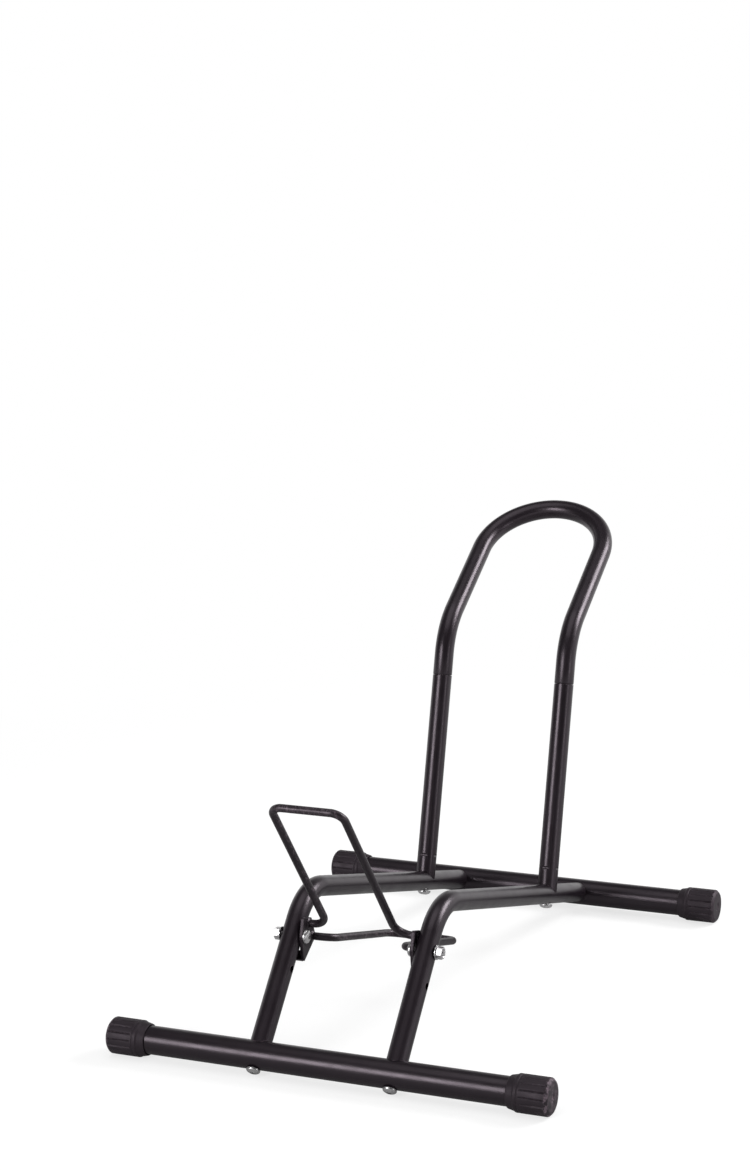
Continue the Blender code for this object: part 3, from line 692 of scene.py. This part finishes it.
def shape_by(piece, operation, *tools):
    """Cuts, joins or intersects a piece with working objects, which then go."""
    for tool in tools:
        modifier = piece.modifiers.new(operation.lower(), "BOOLEAN")
        modifier.operation = operation
        modifier.solver = "EXACT"
        modifier.object = tool
    settle(piece)
    drop(*tools)
    return piece


def bar(start, end, radius, sides=ROD_RING):
    """A straight working bar between two points."""
    work = bmesh.new()
    axis = Vector(end) - Vector(start)
    stand_up = axis.to_track_quat("Z", "Y").to_matrix().to_4x4()
    middle = Matrix.Translation((Vector(start) + Vector(end)) / 2)
    bmesh.ops.create_cone(work, cap_ends=True, segments=sides, radius1=radius, radius2=radius,
                          depth=axis.length, matrix=middle @ stand_up)
    return worked_object("bar", work)


def bar_about(point, reach, radius, sides=ROD_RING):
    """A working bar through a point, as far as reach to either side of it."""
    return bar(point - reach, point + reach, radius, sides)


def hexagon(across_flats, low, high):
    """A six-sided working prism about +Z."""
    return bar((0.0, 0.0, low), (0.0, 0.0, high), across_flats / math.sqrt(3), 6)


def swept(name, stations, radius, slot, ring=TUBE_RING, steps=28):
    """A round tube or rod along (point, bend radius, girth) stations."""
    points, bends, girths = zip(*stations)
    return grow(point_object(name, points, True, bend=bends, girth=girths), swept_tube,
                tube_radius=radius, bend_steps=steps, ring_steps=ring, finish=finish_of(slot))


def mirrored(stations):
    """A run of stations, carried on by its own mirror image about the stand's middle."""
    return stations + [(across(point, -point.x), bend, girth) for point, bend, girth in reversed(stations)]


def turned(name, profile, slot, steps, ribs=1, rib_share=1.0, groove_depth=0.0):
    """A closed form turned about +Z from (radius, height) stations, with a share of the groove if they carry one."""
    stations = [(*station, 0.0)[:3] for station in profile]
    points = [(radius, 0.0, height) for radius, height, _ in stations]
    return grow(point_object(name, points, True, groove=[station[2] for station in stations]), turned_form,
                steps_round=steps, ribs=ribs, rib_share=rib_share, groove_depth=groove_depth,
                finish=finish_of(slot))


def fasten(name, pattern, places, *nodes):
    """Sets a fastener at each (point, direction), as one zinc piece of the stand. The pattern goes."""
    points, directions = zip(*places)
    made = grow(point_object(name, points, False, facing=directions), fasteners_in_place,
                fastener=pattern, finish=finish_of("zinc"))
    drop(pattern)
    hand_over(made, STAND, "zinc", *nodes)


def rounded(corners, radius, steps=5):
    """A run of (radius, height) corners with its inner corners rounded."""
    points = [corners[0]]
    for a, b, c in zip(*(map(Vector, corners[first:]) for first in range(3))):
        reach = min(radius, (a - b).length * 0.45, (c - b).length * 0.45)
        start = b + (a - b).normalized() * reach
        stop = b + (c - b).normalized() * reach
        for step in range(steps + 1):
            t = step / steps
            points.append(tuple(start.lerp(b, t).lerp(b.lerp(stop, t), t)))
    points.append(corners[-1])
    return points


def hand_over(piece, body, slot, *nodes):
    """Gives a finished piece the one material of its slot, puts it on its body and hides the frame nodes it stands
    for.
    """
    piece.data.materials.clear()
    piece.data.materials.append(finish_of(slot))
    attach(piece, body)
    if nodes:
        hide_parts(*nodes)


# The pieces

class StandOperator(bpy.types.Operator):
    """What every operator of the stand shares"""
    bl_options = {"REGISTER", "UNDO"}


class STAND_OT_foot_tubes(StandOperator):
    """Make the two cross feet, bored for their bolts"""
    bl_idname = "stand.foot_tubes"
    bl_label = "Foot Tubes"

    def execute(self, context):
        settings = context.scene.bike_stand
        axes = layout(settings)
        foot = settings.foot
        radius = foot.tube_diameter / 2
        reach = foot.tube_length / 2
        narrow = (radius - EDGE) / radius
        past_ends, past_sides = 1.1, 1.5  # the cutters' reach, as shares of the tube's half length and radius
        ends = ((-reach, narrow), (EDGE - reach, 1.0), (reach - EDGE, 1.0), (reach, narrow))
        for label, middle, through in (("front", FRONT_FOOT, axes.leg), ("rear", REAR_FOOT, axes.run)):
            stations = [(across(middle, x), 0.0, girth) for x, girth in ends]
            tube = swept(f"{label}_foot_pipe", stations, radius, "frame_coat", FINE_RING)
            bore = bar_about(across(middle, 0.0), ACROSS * reach * past_ends, radius - foot.tube_wall, FINE_RING)
            holes = [bar_about(across(middle, x), through * radius * past_sides, settings.frame.bolt_hole / 2)
                     for x in (-axes.rail, axes.rail)]
            shape_by(tube, "DIFFERENCE", bore, *holes)
            hand_over(tube, STAND, "frame_coat", f"{label}_foot_tube")
        return {"FINISHED"}


class STAND_OT_foot_caps(StandOperator):
    """Make the four ribbed end caps, each with its collar, dimple and bore"""
    bl_idname = "stand.foot_caps"
    bl_label = "Foot Caps"

    def execute(self, context):
        settings = context.scene.bike_stand
        foot = settings.foot
        profile = self.profile(foot)
        for end_label, middle in (("front", FRONT_FOOT), ("rear", REAR_FOOT)):
            for side_label, side in SIDES.items():
                cap = turned(f"{end_label}_{side_label}_ribbed_cap", profile, "cap_plastic", foot.rib_count * 14,
                             foot.rib_count, foot.rib_share, foot.groove_depth)
                outward = ACROSS * side
                mouth = across(middle, side * (foot.cap_outer_end - foot.cap_length))
                cap.data.transform(stood(mouth, -UP, outward.cross(-UP), outward))
                hand_over(cap, STAND, "cap_plastic", f"{end_label}_{side_label}_foot_cap")
        return {"FINISHED"}

    def profile(self, foot):
        """The cap's closed (radius, height) profile, from its end's middle over the ribs to the mouth and inside."""
        crest = foot.cap_diameter / 2
        low = crest - foot.ring_groove
        bore = foot.tube_diameter / 2 + CLEARANCE
        mouth = bore + foot.mouth_wall
        end = foot.cap_length
        ribs_start = foot.collar_length + foot.collar_land
        ribs_end = end - foot.end_chamfer
        dimple = foot.dimple_diameter / 2
        dimple_floor = end - foot.dimple_depth
        face = rounded([
            (0.0, dimple_floor), (dimple * 0.72, dimple_floor), (dimple, end),
            (crest - foot.end_chamfer, end), (crest, ribs_end), (crest, ribs_end - 0.004),
        ], 0.0008)
        collar = rounded([
            (crest, ribs_start + 0.0012), (crest, ribs_start + 0.0002), (low, ribs_start - 0.0002),
            (low, ribs_start - 0.0008), (crest, ribs_start - 0.0012), (crest, foot.collar_length),
            (crest - foot.collar_step, foot.collar_length - 0.0014), (mouth, 0.0006),
            (mouth - 0.0005, 0.0), (bore + 0.0004, 0.0), (bore, 0.0012), (bore, 0.003),
        ], 0.0005)
        inside = rounded([(bore, 0.006), (bore, end - foot.end_wall), (0.0, end - foot.end_wall)], 0.0008)
        outer = [(r, z, float(r > crest - 0.0004 and z < ribs_end + 0.0006)) for r, z in face]
        return [*outer, (crest, ribs_start + 0.0022, 1.0), *collar, *inside]


class STAND_OT_side_rails(StandOperator):
    """Make the two bent side rails, coped round the feet and bored for their bolts"""
    bl_idname = "stand.side_rails"
    bl_label = "Side Rails"

    def execute(self, context):
        settings = context.scene.bike_stand
        axes = layout(settings)
        sizes = settings.frame
        radius = sizes.tube_diameter / 2
        hole = sizes.bolt_hole / 2
        cope = settings.foot.tube_diameter / 2 + CLEARANCE
        outside = (FRONT_FOOT, REAR_FOOT)
        inside = (FRONT_FOOT - axes.leg * CUT_PAST, REAR_FOOT + axes.run * CUT_PAST)
        pins = ((PIVOT, ACROSS), (axes.spare_hole, ACROSS), (axes.upright_foot, axes.upright))
        for label, side in SIDES.items():
            x = side * axes.rail
            rail, bore = (swept(name, [
                (across(front, x), 0.0, 1.0),
                (across(axes.rail_corner, x), sizes.rail_bend, 1.0),
                (across(rear, x), 0.0, 1.0),
            ], girth, "frame_coat") for name, (front, rear), girth in (
                (f"{label}_rail_tube", outside, radius),
                ("rail bore", inside, radius - sizes.tube_wall),
            ))
            cutters = [bar_about(across(foot, x), ACROSS * COPE_REACH, cope, FINE_RING) for foot in outside]
            cutters += [bar_about(across(point, x), way * CUT_PAST, hole) for point, way in pins]
            shape_by(rail, "DIFFERENCE", bore, *cutters)
            hand_over(rail, STAND, "frame_coat", f"{label}_side_rail")
        return {"FINISHED"}


class STAND_OT_uprights(StandOperator):
    """Make the two uprights, coped over the runs and crimped on their insert plugs"""
    bl_idname = "stand.uprights"
    bl_label = "Uprights"

    def execute(self, context):
        settings = context.scene.bike_stand
        axes = layout(settings)
        sizes = settings.frame
        radius = sizes.tube_diameter / 2
        rim = 0.0003
        past = axes.upright * CUT_PAST
        for label, side in SIDES.items():
            foot, top = (across(point, side * axes.rail) for point in (axes.upright_foot, axes.splice))
            stations = [(foot, 0.0, 1.0), (top - axes.upright * rim, 0.0, 1.0), (top, 0.0, (radius - rim) / radius)]
            tube = swept(f"{label}_upright_tube", stations, radius, "frame_coat")
            bore = bar(foot - past, top + past, radius - sizes.tube_wall, TUBE_RING)
            saddle = bar_about(foot, axes.run * COPE_REACH, radius + CLEARANCE, FINE_RING)
            crimps = [self.crimp(foot + axes.upright * sizes.stake_height, way, axes.upright, sizes)
                      for way in (-axes.run, axes.run, ACROSS, -ACROSS)]
            shape_by(tube, "DIFFERENCE", bore, saddle, *crimps)
            hand_over(tube, STAND, "frame_coat", f"{label}_upright")
        return {"FINISHED"}

    def crimp(self, middle, outward, along, sizes):
        """A flat lens that presses one crimp into the tube's wall."""
        work = bmesh.new()
        bmesh.ops.create_uvsphere(work, u_segments=32, v_segments=20, radius=1.0)
        lens = worked_object("crimp", work)
        bulge = 0.0022
        # the two factors make the cut in the round tube as wide and as high as the crimp
        stretch = Matrix.Diagonal((sizes.stake_width * 1.67, sizes.stake_rise * 0.58, bulge, 1.0))
        centre = middle + outward * (sizes.tube_diameter / 2 + bulge - sizes.stake_depth)
        lens.data.transform(stood(centre, along.cross(outward), along, outward) @ stretch)
        return lens


class STAND_OT_top_hoop(StandOperator):
    """Make the hoop that holds the wheel, necked to plug into the uprights"""
    bl_idname = "stand.top_hoop"
    bl_label = "Top Hoop"

    def execute(self, context):
        settings = context.scene.bike_stand
        axes = layout(settings)
        sizes = settings.frame
        radius = sizes.tube_diameter / 2
        neck = (radius - sizes.tube_wall - CLEARANCE) / radius
        splice = (  # height above the splice, share of the full girth
            (-sizes.plug_depth, neck),
            (CLEARANCE, neck),
            (CLEARANCE + 0.00002, 0.955),
            (sizes.shoulder * 0.6, 0.985),
            (sizes.shoulder, 1.0),
        )
        stations = [(across(axes.splice + axes.upright * height, -axes.rail), 0.0, girth) for height, girth in splice]
        stations.append((across(axes.hoop_corner, -axes.rail), sizes.hoop_bend, 1.0))
        stations.append((across(axes.hoop_top, -axes.rail), axes.rail * 0.999, 1.0))
        hoop = swept("top_hoop_tube", mirrored(stations), radius, "frame_coat", steps=40)
        hand_over(hoop, STAND, "frame_coat", "top_hoop")
        return {"FINISHED"}


class STAND_OT_cradle_bows(StandOperator):
    """Make the cradle's two bows of bent round rod"""
    bl_idname = "stand.cradle_bows"
    bl_label = "Cradle Bows"

    def execute(self, context):
        settings = context.scene.bike_stand
        axes = layout(settings)
        sizes = settings.cradle
        radius = sizes.rod_diameter / 2
        arm = sizes.bow_width / 2
        for label, seat, far in (("front", axes.front_seat, axes.front_end), ("rear", axes.rear_seat, axes.rear_end)):
            stations = [
                (across(seat, sizes.plate_outer), 0.0, (radius - EDGE) / radius),
                (across(seat, sizes.plate_outer - EDGE), 0.0, 1.0),
                (across(seat, arm), sizes.corner_bend, 1.0),
                (across(far, arm), sizes.end_bend, 1.0),
            ]
            bow = swept(f"{label}_bow_rod", mirrored(stations), radius, "rod_coat", ROD_RING, 24)
            hand_over(bow, CRADLE, "rod_coat", f"cradle_{label}_bow")
        return {"FINISHED"}


class STAND_OT_cradle_plates(StandOperator):
    """Make the cradle's two side plates with their stop tabs and weld beads"""
    bl_idname = "stand.cradle_plates"
    bl_label = "Cradle Plates"

    def execute(self, context):
        settings = context.scene.bike_stand
        axes = layout(settings)
        sizes = settings.cradle
        lift = Vector((0.0, -axes.leg.z, axes.leg.y))
        inner = sizes.plate_outer - sizes.plate_thickness
        near, far = 0.045, 0.060  # the bores' cutters, from the middle outwards through the plate
        rod = sizes.rod_diameter / 2
        boss = rod + sizes.plate_rim
        tab_middle = PIVOT - axes.leg * (sizes.tab_start + sizes.tab_length / 2) - lift * sizes.tab_height
        tab_half = axes.leg * 0.5 * (sizes.tab_length - sizes.tab_thickness)
        front_bow = axes.front_seat - PIVOT
        top = axes.upright * (front_bow.dot(axes.upright) + boss - sizes.plate_corner)
        back = axes.run * (front_bow.dot(axes.run) + boss - sizes.plate_corner)
        front = axes.run * (sizes.plate_corner - sizes.hub_radius)
        rounds = (
            (PIVOT, sizes.hub_radius),
            (axes.rear_seat, boss),
            (PIVOT + top + back, sizes.plate_corner),
            (PIVOT + top + front, sizes.plate_corner),
            (tab_middle - tab_half, sizes.tab_thickness / 2),
            (tab_middle + tab_half, sizes.tab_thickness / 2),
        )
        holes = ((PIVOT, settings.frame.bolt_hole / 2), (axes.front_seat, rod + CLEARANCE),
                 (axes.rear_seat, rod + CLEARANCE))
        for label, side in SIDES.items():
            outward = ACROSS * side
            plate = self.slab(f"{label}_side_plate", rounds, side * inner, side * sizes.plate_outer)
            shape_by(plate, "UNION", self.tab(tab_middle, axes.leg, lift, side, sizes))
            shape_by(plate, "DIFFERENCE", *(bar(across(point, side * near), across(point, side * far), radius)
                                            for point, radius in holes))
            self.soften(plate)
            hand_over(plate, CRADLE, "rod_coat", f"cradle_{label}_plate")
            for bow_label, seat in (("front", axes.front_seat), ("rear", axes.rear_seat)):
                bead = self.bead(f"{label}_{bow_label}_weld_bead", rod, sizes.weld_size)
                bead.data.transform(stood(across(seat, side * inner), UP, outward.cross(UP), outward))
                hand_over(bead, CRADLE, "rod_coat")
        return {"FINISHED"}

    def slab(self, name, rounds, near, far):
        """A plate whose outline wraps round the given circles, between two distances from the middle."""
        work = bmesh.new()
        steps = 64
        for middle, radius in rounds:
            for step in range(steps):
                angle = math.tau * step / steps
                work.verts.new((near, middle.y + radius * math.cos(angle), middle.z + radius * math.sin(angle)))
        hull = bmesh.ops.convex_hull(work, input=work.verts)
        bmesh.ops.delete(work, geom=self.corners_in(hull["geom_interior"]), context="VERTS")
        outline = [(corner.co.y, corner.co.z) for corner in work.verts]
        y, z = (sum(values) / len(outline) for values in zip(*outline))
        outline.sort(key=lambda corner: math.atan2(corner[1] - z, corner[0] - y))
        work.clear()
        face = work.faces.new([work.verts.new((near, *corner)) for corner in outline])
        pushed = bmesh.ops.extrude_face_region(work, geom=[face])
        bmesh.ops.translate(work, verts=self.corners_in(pushed["geom"]), vec=(far - near, 0.0, 0.0))
        bmesh.ops.recalc_face_normals(work, faces=work.faces)
        return worked_object(name, work)

    def corners_in(self, parts):
        """The vertices among a bmesh operator's results."""
        return [part for part in parts if isinstance(part, bmesh.types.BMVert)]

    def tab(self, middle, along, lift, side, sizes):
        """The stop tab that reaches out under the leg."""
        root = sizes.plate_outer - sizes.plate_thickness / 2
        reach = sizes.tab_end - root
        size = Matrix.Diagonal((reach, sizes.tab_length, sizes.tab_thickness, 1.0))
        centre = across(middle, side * (root + reach / 2))
        work = bmesh.new()
        bmesh.ops.create_cube(work, size=1.0, matrix=stood(centre, ACROSS, along, lift) @ size)
        bmesh.ops.recalc_face_normals(work, faces=work.faces)
        return worked_object("tab", work)

    def soften(self, plate):
        """Breaks the plate's sharp edges as stamping and coating do."""
        edge = plate.modifiers.new("softened edges", "BEVEL")
        edge.width = 0.00035
        edge.segments = 2
        edge.limit_method = "ANGLE"
        edge.angle_limit = math.radians(40)
        settle(plate)

    def bead(self, name, rod, size):
        """A rippled weld bead round a rod, to lie against the plate's inner face."""
        near, foot, ripple_share = rod + 0.00005, -0.00004, 0.6
        profile = rounded([(near, -size * 0.95), (rod + size * 0.45, -size * 0.62),
                           (rod + size * 0.80, -size * 0.28), (rod + size * 1.05, foot)], 0.0002, 3)
        stations = [(r, z, ripple_share) for r, z in profile]
        return turned(name, [*stations, (near, foot), stations[0]], "rod_coat", 120,
                      ribs=15, rib_share=0.15, groove_depth=0.00022)


def bolt_pattern(shank_length, sizes):
    """A domed socket bolt standing on its head's underside, shank down, thread cut."""
    head = sizes.head_diameter / 2
    shank = sizes.shank_diameter / 2
    pitch = sizes.thread_pitch
    thread_depth = 0.00042
    longest_thread = 0.022
    rim = point = 0.0008
    steps = 12
    profile = []
    for step in range(steps + 1):
        t = step / steps
        angle = t * math.pi / 2
        rise = (sizes.head_height - rim) * math.cos(angle) ** 0.9 if t < 1 else 0.0
        profile.append((head * math.sin(angle) * 0.985 + head * 0.015 * t, rim + rise))
    thread_top = -shank_length + min(shank_length * 0.7, longest_thread)
    profile += [(head, 0.0002), (head - 0.0002, 0.0), (shank, 0.0), (shank, thread_top)]
    for step in range(int((thread_top + shank_length - point) / pitch)):
        z = thread_top - step * pitch
        profile += [(shank - thread_depth, z - pitch * 0.5), (shank, z - pitch)]
    profile += [(shank - 0.0006, -shank_length), (0.0, -shank_length)]
    bolt = turned("bolt pattern", profile, "zinc", 60)
    socket = hexagon(sizes.socket_width, sizes.head_height - sizes.socket_depth, sizes.head_height + 0.001)
    return shape_by(bolt, "DIFFERENCE", socket)


class STAND_OT_frame_bolts(StandOperator):
    """Make the six domed bolts that hold the frame's joints"""
    bl_idname = "stand.frame_bolts"
    bl_label = "Frame Bolts"

    def execute(self, context):
        settings = context.scene.bike_stand
        axes = layout(settings)
        sizes = settings.fastener
        foot = settings.foot.tube_diameter / 2
        for label, seat, inward, radius in (
            ("leg", FRONT_FOOT, axes.leg, foot),
            ("run", REAR_FOOT, -axes.run, foot),
            ("upright", axes.upright_foot, axes.upright, settings.frame.tube_diameter / 2),
        ):
            under_head = (radius + CLEARANCE) + (radius + sizes.plug_inset) + sizes.grip
            places = [(across(seat, side * axes.rail) - inward * (radius + CLEARANCE), -inward)
                      for side in SIDES.values()]
            fasten(f"{label}_bolt_pair", bolt_pattern(under_head, sizes), places,
                   f"left_{label}_bolt", f"right_{label}_bolt")
        return {"FINISHED"}


class STAND_OT_pivot_hardware(StandOperator):
    """Make the cradle's pivot bolts, washers and nuts"""
    bl_idname = "stand.pivot_hardware"
    bl_label = "Pivot Hardware"

    def execute(self, context):
        settings = context.scene.bike_stand
        sizes = settings.fastener
        heads = settings.cradle.plate_outer - settings.cradle.plate_thickness - CLEARANCE
        washers = node_middle("right_pivot_washer").x - sizes.washer_thickness / 2
        nuts = node_middle("right_pivot_nut").x - sizes.nut_height / 2
        for label, pattern, distance, facing in (
            ("bolt", bolt_pattern(sizes.pivot_length, sizes), heads, -1.0),
            ("washer", self.washer_pattern(sizes, settings.frame.bolt_hole / 2), washers, 1.0),
            ("nut", self.nut_pattern(sizes), nuts, 1.0),
        ):
            places = [(across(PIVOT, side * distance), ACROSS * side * facing) for side in SIDES.values()]
            fasten(f"pivot_{label}_pair", pattern, places, f"left_pivot_{label}", f"right_pivot_{label}")
        return {"FINISHED"}

    def washer_pattern(self, sizes, bore):
        """A flat washer with broken edges."""
        thick = sizes.washer_thickness
        edge = sizes.washer_diameter / 2
        loop = [(bore, thick / 2), (bore, thick), (edge, thick), (edge, 0.0), (bore, 0.0), (bore, thick / 2)]
        return turned("washer pattern", rounded(loop, 0.00025, 4), "zinc", 72)

    def nut_pattern(self, sizes):
        """A hexagon nut with its corners chamfered and its thread bored."""
        high = sizes.nut_height
        flat = sizes.nut_width / 2
        corner = sizes.nut_width / math.sqrt(3)
        # 1.6, because the cone runs from inside the flats to past the corners
        chamfer = (corner - flat) * math.tan(math.radians(30)) * 1.6
        limit = turned("nut chamfer", [(0.0, high), (flat * 0.97, high), (corner * 1.05, high - chamfer),
                                       (corner * 1.05, chamfer), (flat * 0.97, 0.0), (0.0, 0.0)], "zinc", 96)
        nut = shape_by(hexagon(sizes.nut_width, 0.0, high), "INTERSECT", limit)
        bore = sizes.shank_diameter / 2 + CLEARANCE
        funnel = 0.0005
        cutter = turned("nut bore", [(0.0, high + funnel * 2), (bore + funnel * 2, high + funnel),
                                     (bore, high - funnel), (bore, funnel), (bore + funnel * 2, -funnel),
                                     (0.0, -funnel * 2)], "zinc", 48)
        return shape_by(nut, "DIFFERENCE", cutter)


class STAND_OT_insert_plugs(StandOperator):
    """Give the six insert plugs inside the tubes their zinc finish"""
    bl_idname = "stand.insert_plugs"
    bl_label = "Insert Plugs"

    def execute(self, context):
        for side in SIDES:
            for joint in ("leg", "run", "upright"):
                for slot in frame["nodes"][f"{side}_{joint}_plug"].material_slots:
                    slot.material = finish_of("zinc")
        return {"FINISHED"}


# The stage

class STAND_OT_stage(StandOperator):
    """Set up the pale floor, the soft studio light and the camera"""
    bl_idname = "stand.stage"
    bl_label = "Stage"

    def execute(self, context):
        settings = context.scene.bike_stand
        stage = settings.stage
        self.camera(stage)
        self.floor(stage)
        self.room(stage)
        self.soft_lamp("front left lamp", (-1.06, -2.52, 1.10), (1.1, 1.1), stage.key_power)
        self.soft_lamp("right rear lamp", (1.50, 1.10, 1.44), (1.1, 0.9), stage.rear_power)
        self.soft_lamp("overhead lamp", (0.0, -0.3, 2.4), (1.8, 1.8), stage.top_power)
        self.soft_lamp("right lamp", (2.43, -0.46, 0.45), (0.6, 0.9), stage.side_power)
        bpy.context.scene.view_settings.view_transform = "Standard"
        return {"FINISHED"}

    def camera(self, stage):
        """The camera, turned as the photograph's was."""
        yaw, pitch, roll = stage.camera_yaw, stage.camera_pitch, stage.camera_roll
        ahead = Vector((-math.sin(yaw) * math.cos(pitch), math.cos(yaw) * math.cos(pitch), -math.sin(pitch)))
        level = Vector((math.cos(yaw), math.sin(yaw), 0.0))
        above = level.cross(ahead)
        right = level * math.cos(roll) + above * math.sin(roll)
        up = above * math.cos(roll) - level * math.sin(roll)
        data = bpy.data.cameras.new("camera")
        data.sensor_fit = "AUTO"
        data.sensor_width = 36.0
        data.lens = stage.lens
        data.clip_start = 0.05
        data.clip_end = 100.0
        camera = new_object("camera", data)
        camera.matrix_world = stood(Vector(stage.camera_place), right, up, -ahead)
        bpy.context.scene.camera = camera

    def floor(self, stage):
        """A pale floor that the eye and reflections see near white, with the stand's shadow on it."""
        mesh = bpy.data.meshes.new("floor")
        half = stage.floor_size / 2
        corners = [(-half, -half, 0.0), (half, -half, 0.0), (half, half, 0.0), (-half, half, 0.0)]
        mesh.from_pydata(corners, [], [(0, 1, 2, 3)])
        floor = new_object("floor", mesh)
        material = bpy.data.materials.new("pale floor")
        draw = Nodes(blank_shading(material))
        matt = draw.add("ShaderNodeBsdfDiffuse", "BSDF", {"Color": opaque(stage.floor_colour)})
        dimmed = draw.add("ShaderNodeBsdfDiffuse", "BSDF", {
            "Color": opaque(stage.floor_colour, 1.0 - stage.floor_white),
        })
        to_eye = draw.add("ShaderNodeLightPath", "Is Camera Ray")
        lift = draw.spread(to_eye, 0.0, 1.0, stage.floor_gloss, stage.floor_white + 0.1)
        glow = draw.add("ShaderNodeEmission", "Emission", {"Color": WHITE, "Strength": lift})
        near = draw.add("ShaderNodeAddShader", "Shader", {0: dimmed, 1: glow})
        spot = draw.add("ShaderNodeTexCoord", "Object")
        reach = draw.add("ShaderNodeVectorMath", "Value", {0: spot}, operation="LENGTH")
        faded = draw.spread(reach, stage.fade_start, stage.fade_end)
        backdrop = draw.add("ShaderNodeEmission", "Emission", {"Color": WHITE, "Strength": 1.0})
        seen = draw.add("ShaderNodeMixShader", "Shader", {0: faded, 1: near, 2: backdrop})
        shown = draw.add("ShaderNodeMixShader", "Shader", {0: self.seen_directly(draw), 1: matt, 2: seen})
        draw.add("ShaderNodeOutputMaterial", None, {"Surface": shown})
        mesh.materials.append(material)

    def seen_directly(self, draw):
        """1 for what the eye, a reflection or clear glass sees, and 0 for plain light."""
        path = draw.add("ShaderNodeLightPath", None)
        either = draw.calc("MAXIMUM", path["Is Camera Ray"], path["Is Glossy Ray"])
        return draw.calc("MAXIMUM", either, path["Is Transmission Ray"])

    def room(self, stage):
        """A white backdrop for the eye and for gloss, and a plain level of light for the rest."""
        world = bpy.data.worlds.new("room")
        bpy.context.scene.world = world
        draw = Nodes(blank_shading(world))
        way = draw.split(draw.add("ShaderNodeTexCoord", "Generated"))
        behind = draw.times(draw.spread(way["Y"], -0.15, 0.35), draw.spread(way["Z"], 0.62, 0.18))
        in_gloss = draw.spread(behind, 0.0, 1.0, stage.room_front, 1.0)
        level = draw.calc("MAXIMUM", in_gloss, draw.add("ShaderNodeLightPath", "Is Camera Ray"))
        light, white = (draw.add("ShaderNodeBackground", "Background", {"Color": WHITE, "Strength": strength})
                        for strength in (stage.room_level, level))
        mixed = draw.add("ShaderNodeMixShader", "Shader", {0: self.seen_directly(draw), 1: light, 2: white})
        draw.add("ShaderNodeOutputWorld", None, {"Surface": mixed})

    def soft_lamp(self, name, spot, size, watts):
        """A rectangular soft lamp, aimed at the stand."""
        data = bpy.data.lights.new(name, "AREA")
        data.shape = "RECTANGLE"
        data.size, data.size_y = size
        data.energy = watts
        aim = UP * 0.15 - Vector(spot)
        turned_to = aim.to_track_quat("-Z", "Y").to_matrix().to_4x4()
        new_object(name, data).matrix_world = Matrix.Translation(spot) @ turned_to


class STAND_PT_panel(bpy.types.Panel):
    """The stand's operators and sizes in the 3D view's sidebar"""
    bl_idname = "STAND_PT_panel"
    bl_label = "Bike Stand"
    bl_space_type = "VIEW_3D"
    bl_region_type = "UI"
    bl_category = "Bike Stand"

    def draw(self, context):
        column = self.layout.column(align=True)
        for operator in OPERATORS:
            column.operator(operator.bl_idname)
        settings = context.scene.bike_stand
        for group_name in StandSettings.__annotations__:
            group = getattr(settings, group_name)
            box = self.layout.box()
            box.label(text=settings.bl_rna.properties[group_name].name)
            for entry in group.bl_rna.properties:
                if entry.identifier not in {"rna_type", "name"}:
                    box.prop(group, entry.identifier)


GROUPS = (FootSizes, FrameSizes, CradleSizes, FastenerSizes, Finishes, StageSizes, StandSettings)
OPERATORS = (
    STAND_OT_foot_tubes,
    STAND_OT_foot_caps,
    STAND_OT_side_rails,
    STAND_OT_uprights,
    STAND_OT_top_hoop,
    STAND_OT_cradle_bows,
    STAND_OT_cradle_plates,
    STAND_OT_frame_bolts,
    STAND_OT_pivot_hardware,
    STAND_OT_insert_plugs,
    STAND_OT_stage,
)


def register():
    """Registers the groups, the operators and the panel."""
    for item in (*GROUPS, *OPERATORS, STAND_PT_panel):
        bpy.utils.register_class(item)
    bpy.types.Scene.bike_stand = PointerProperty(type=StandSettings)


def unregister():
    """Takes the groups, the operators and the panel out again."""
    del bpy.types.Scene.bike_stand
    for item in (STAND_PT_panel, *reversed(OPERATORS), *reversed(GROUPS)):
        bpy.utils.unregister_class(item)


def main():
    """Builds every piece and the stage."""
    register()
    for operator in OPERATORS:
        group, name = operator.bl_idname.split(".")
        getattr(getattr(bpy.ops, group), name)()


if __name__ == "__main__":
    main()
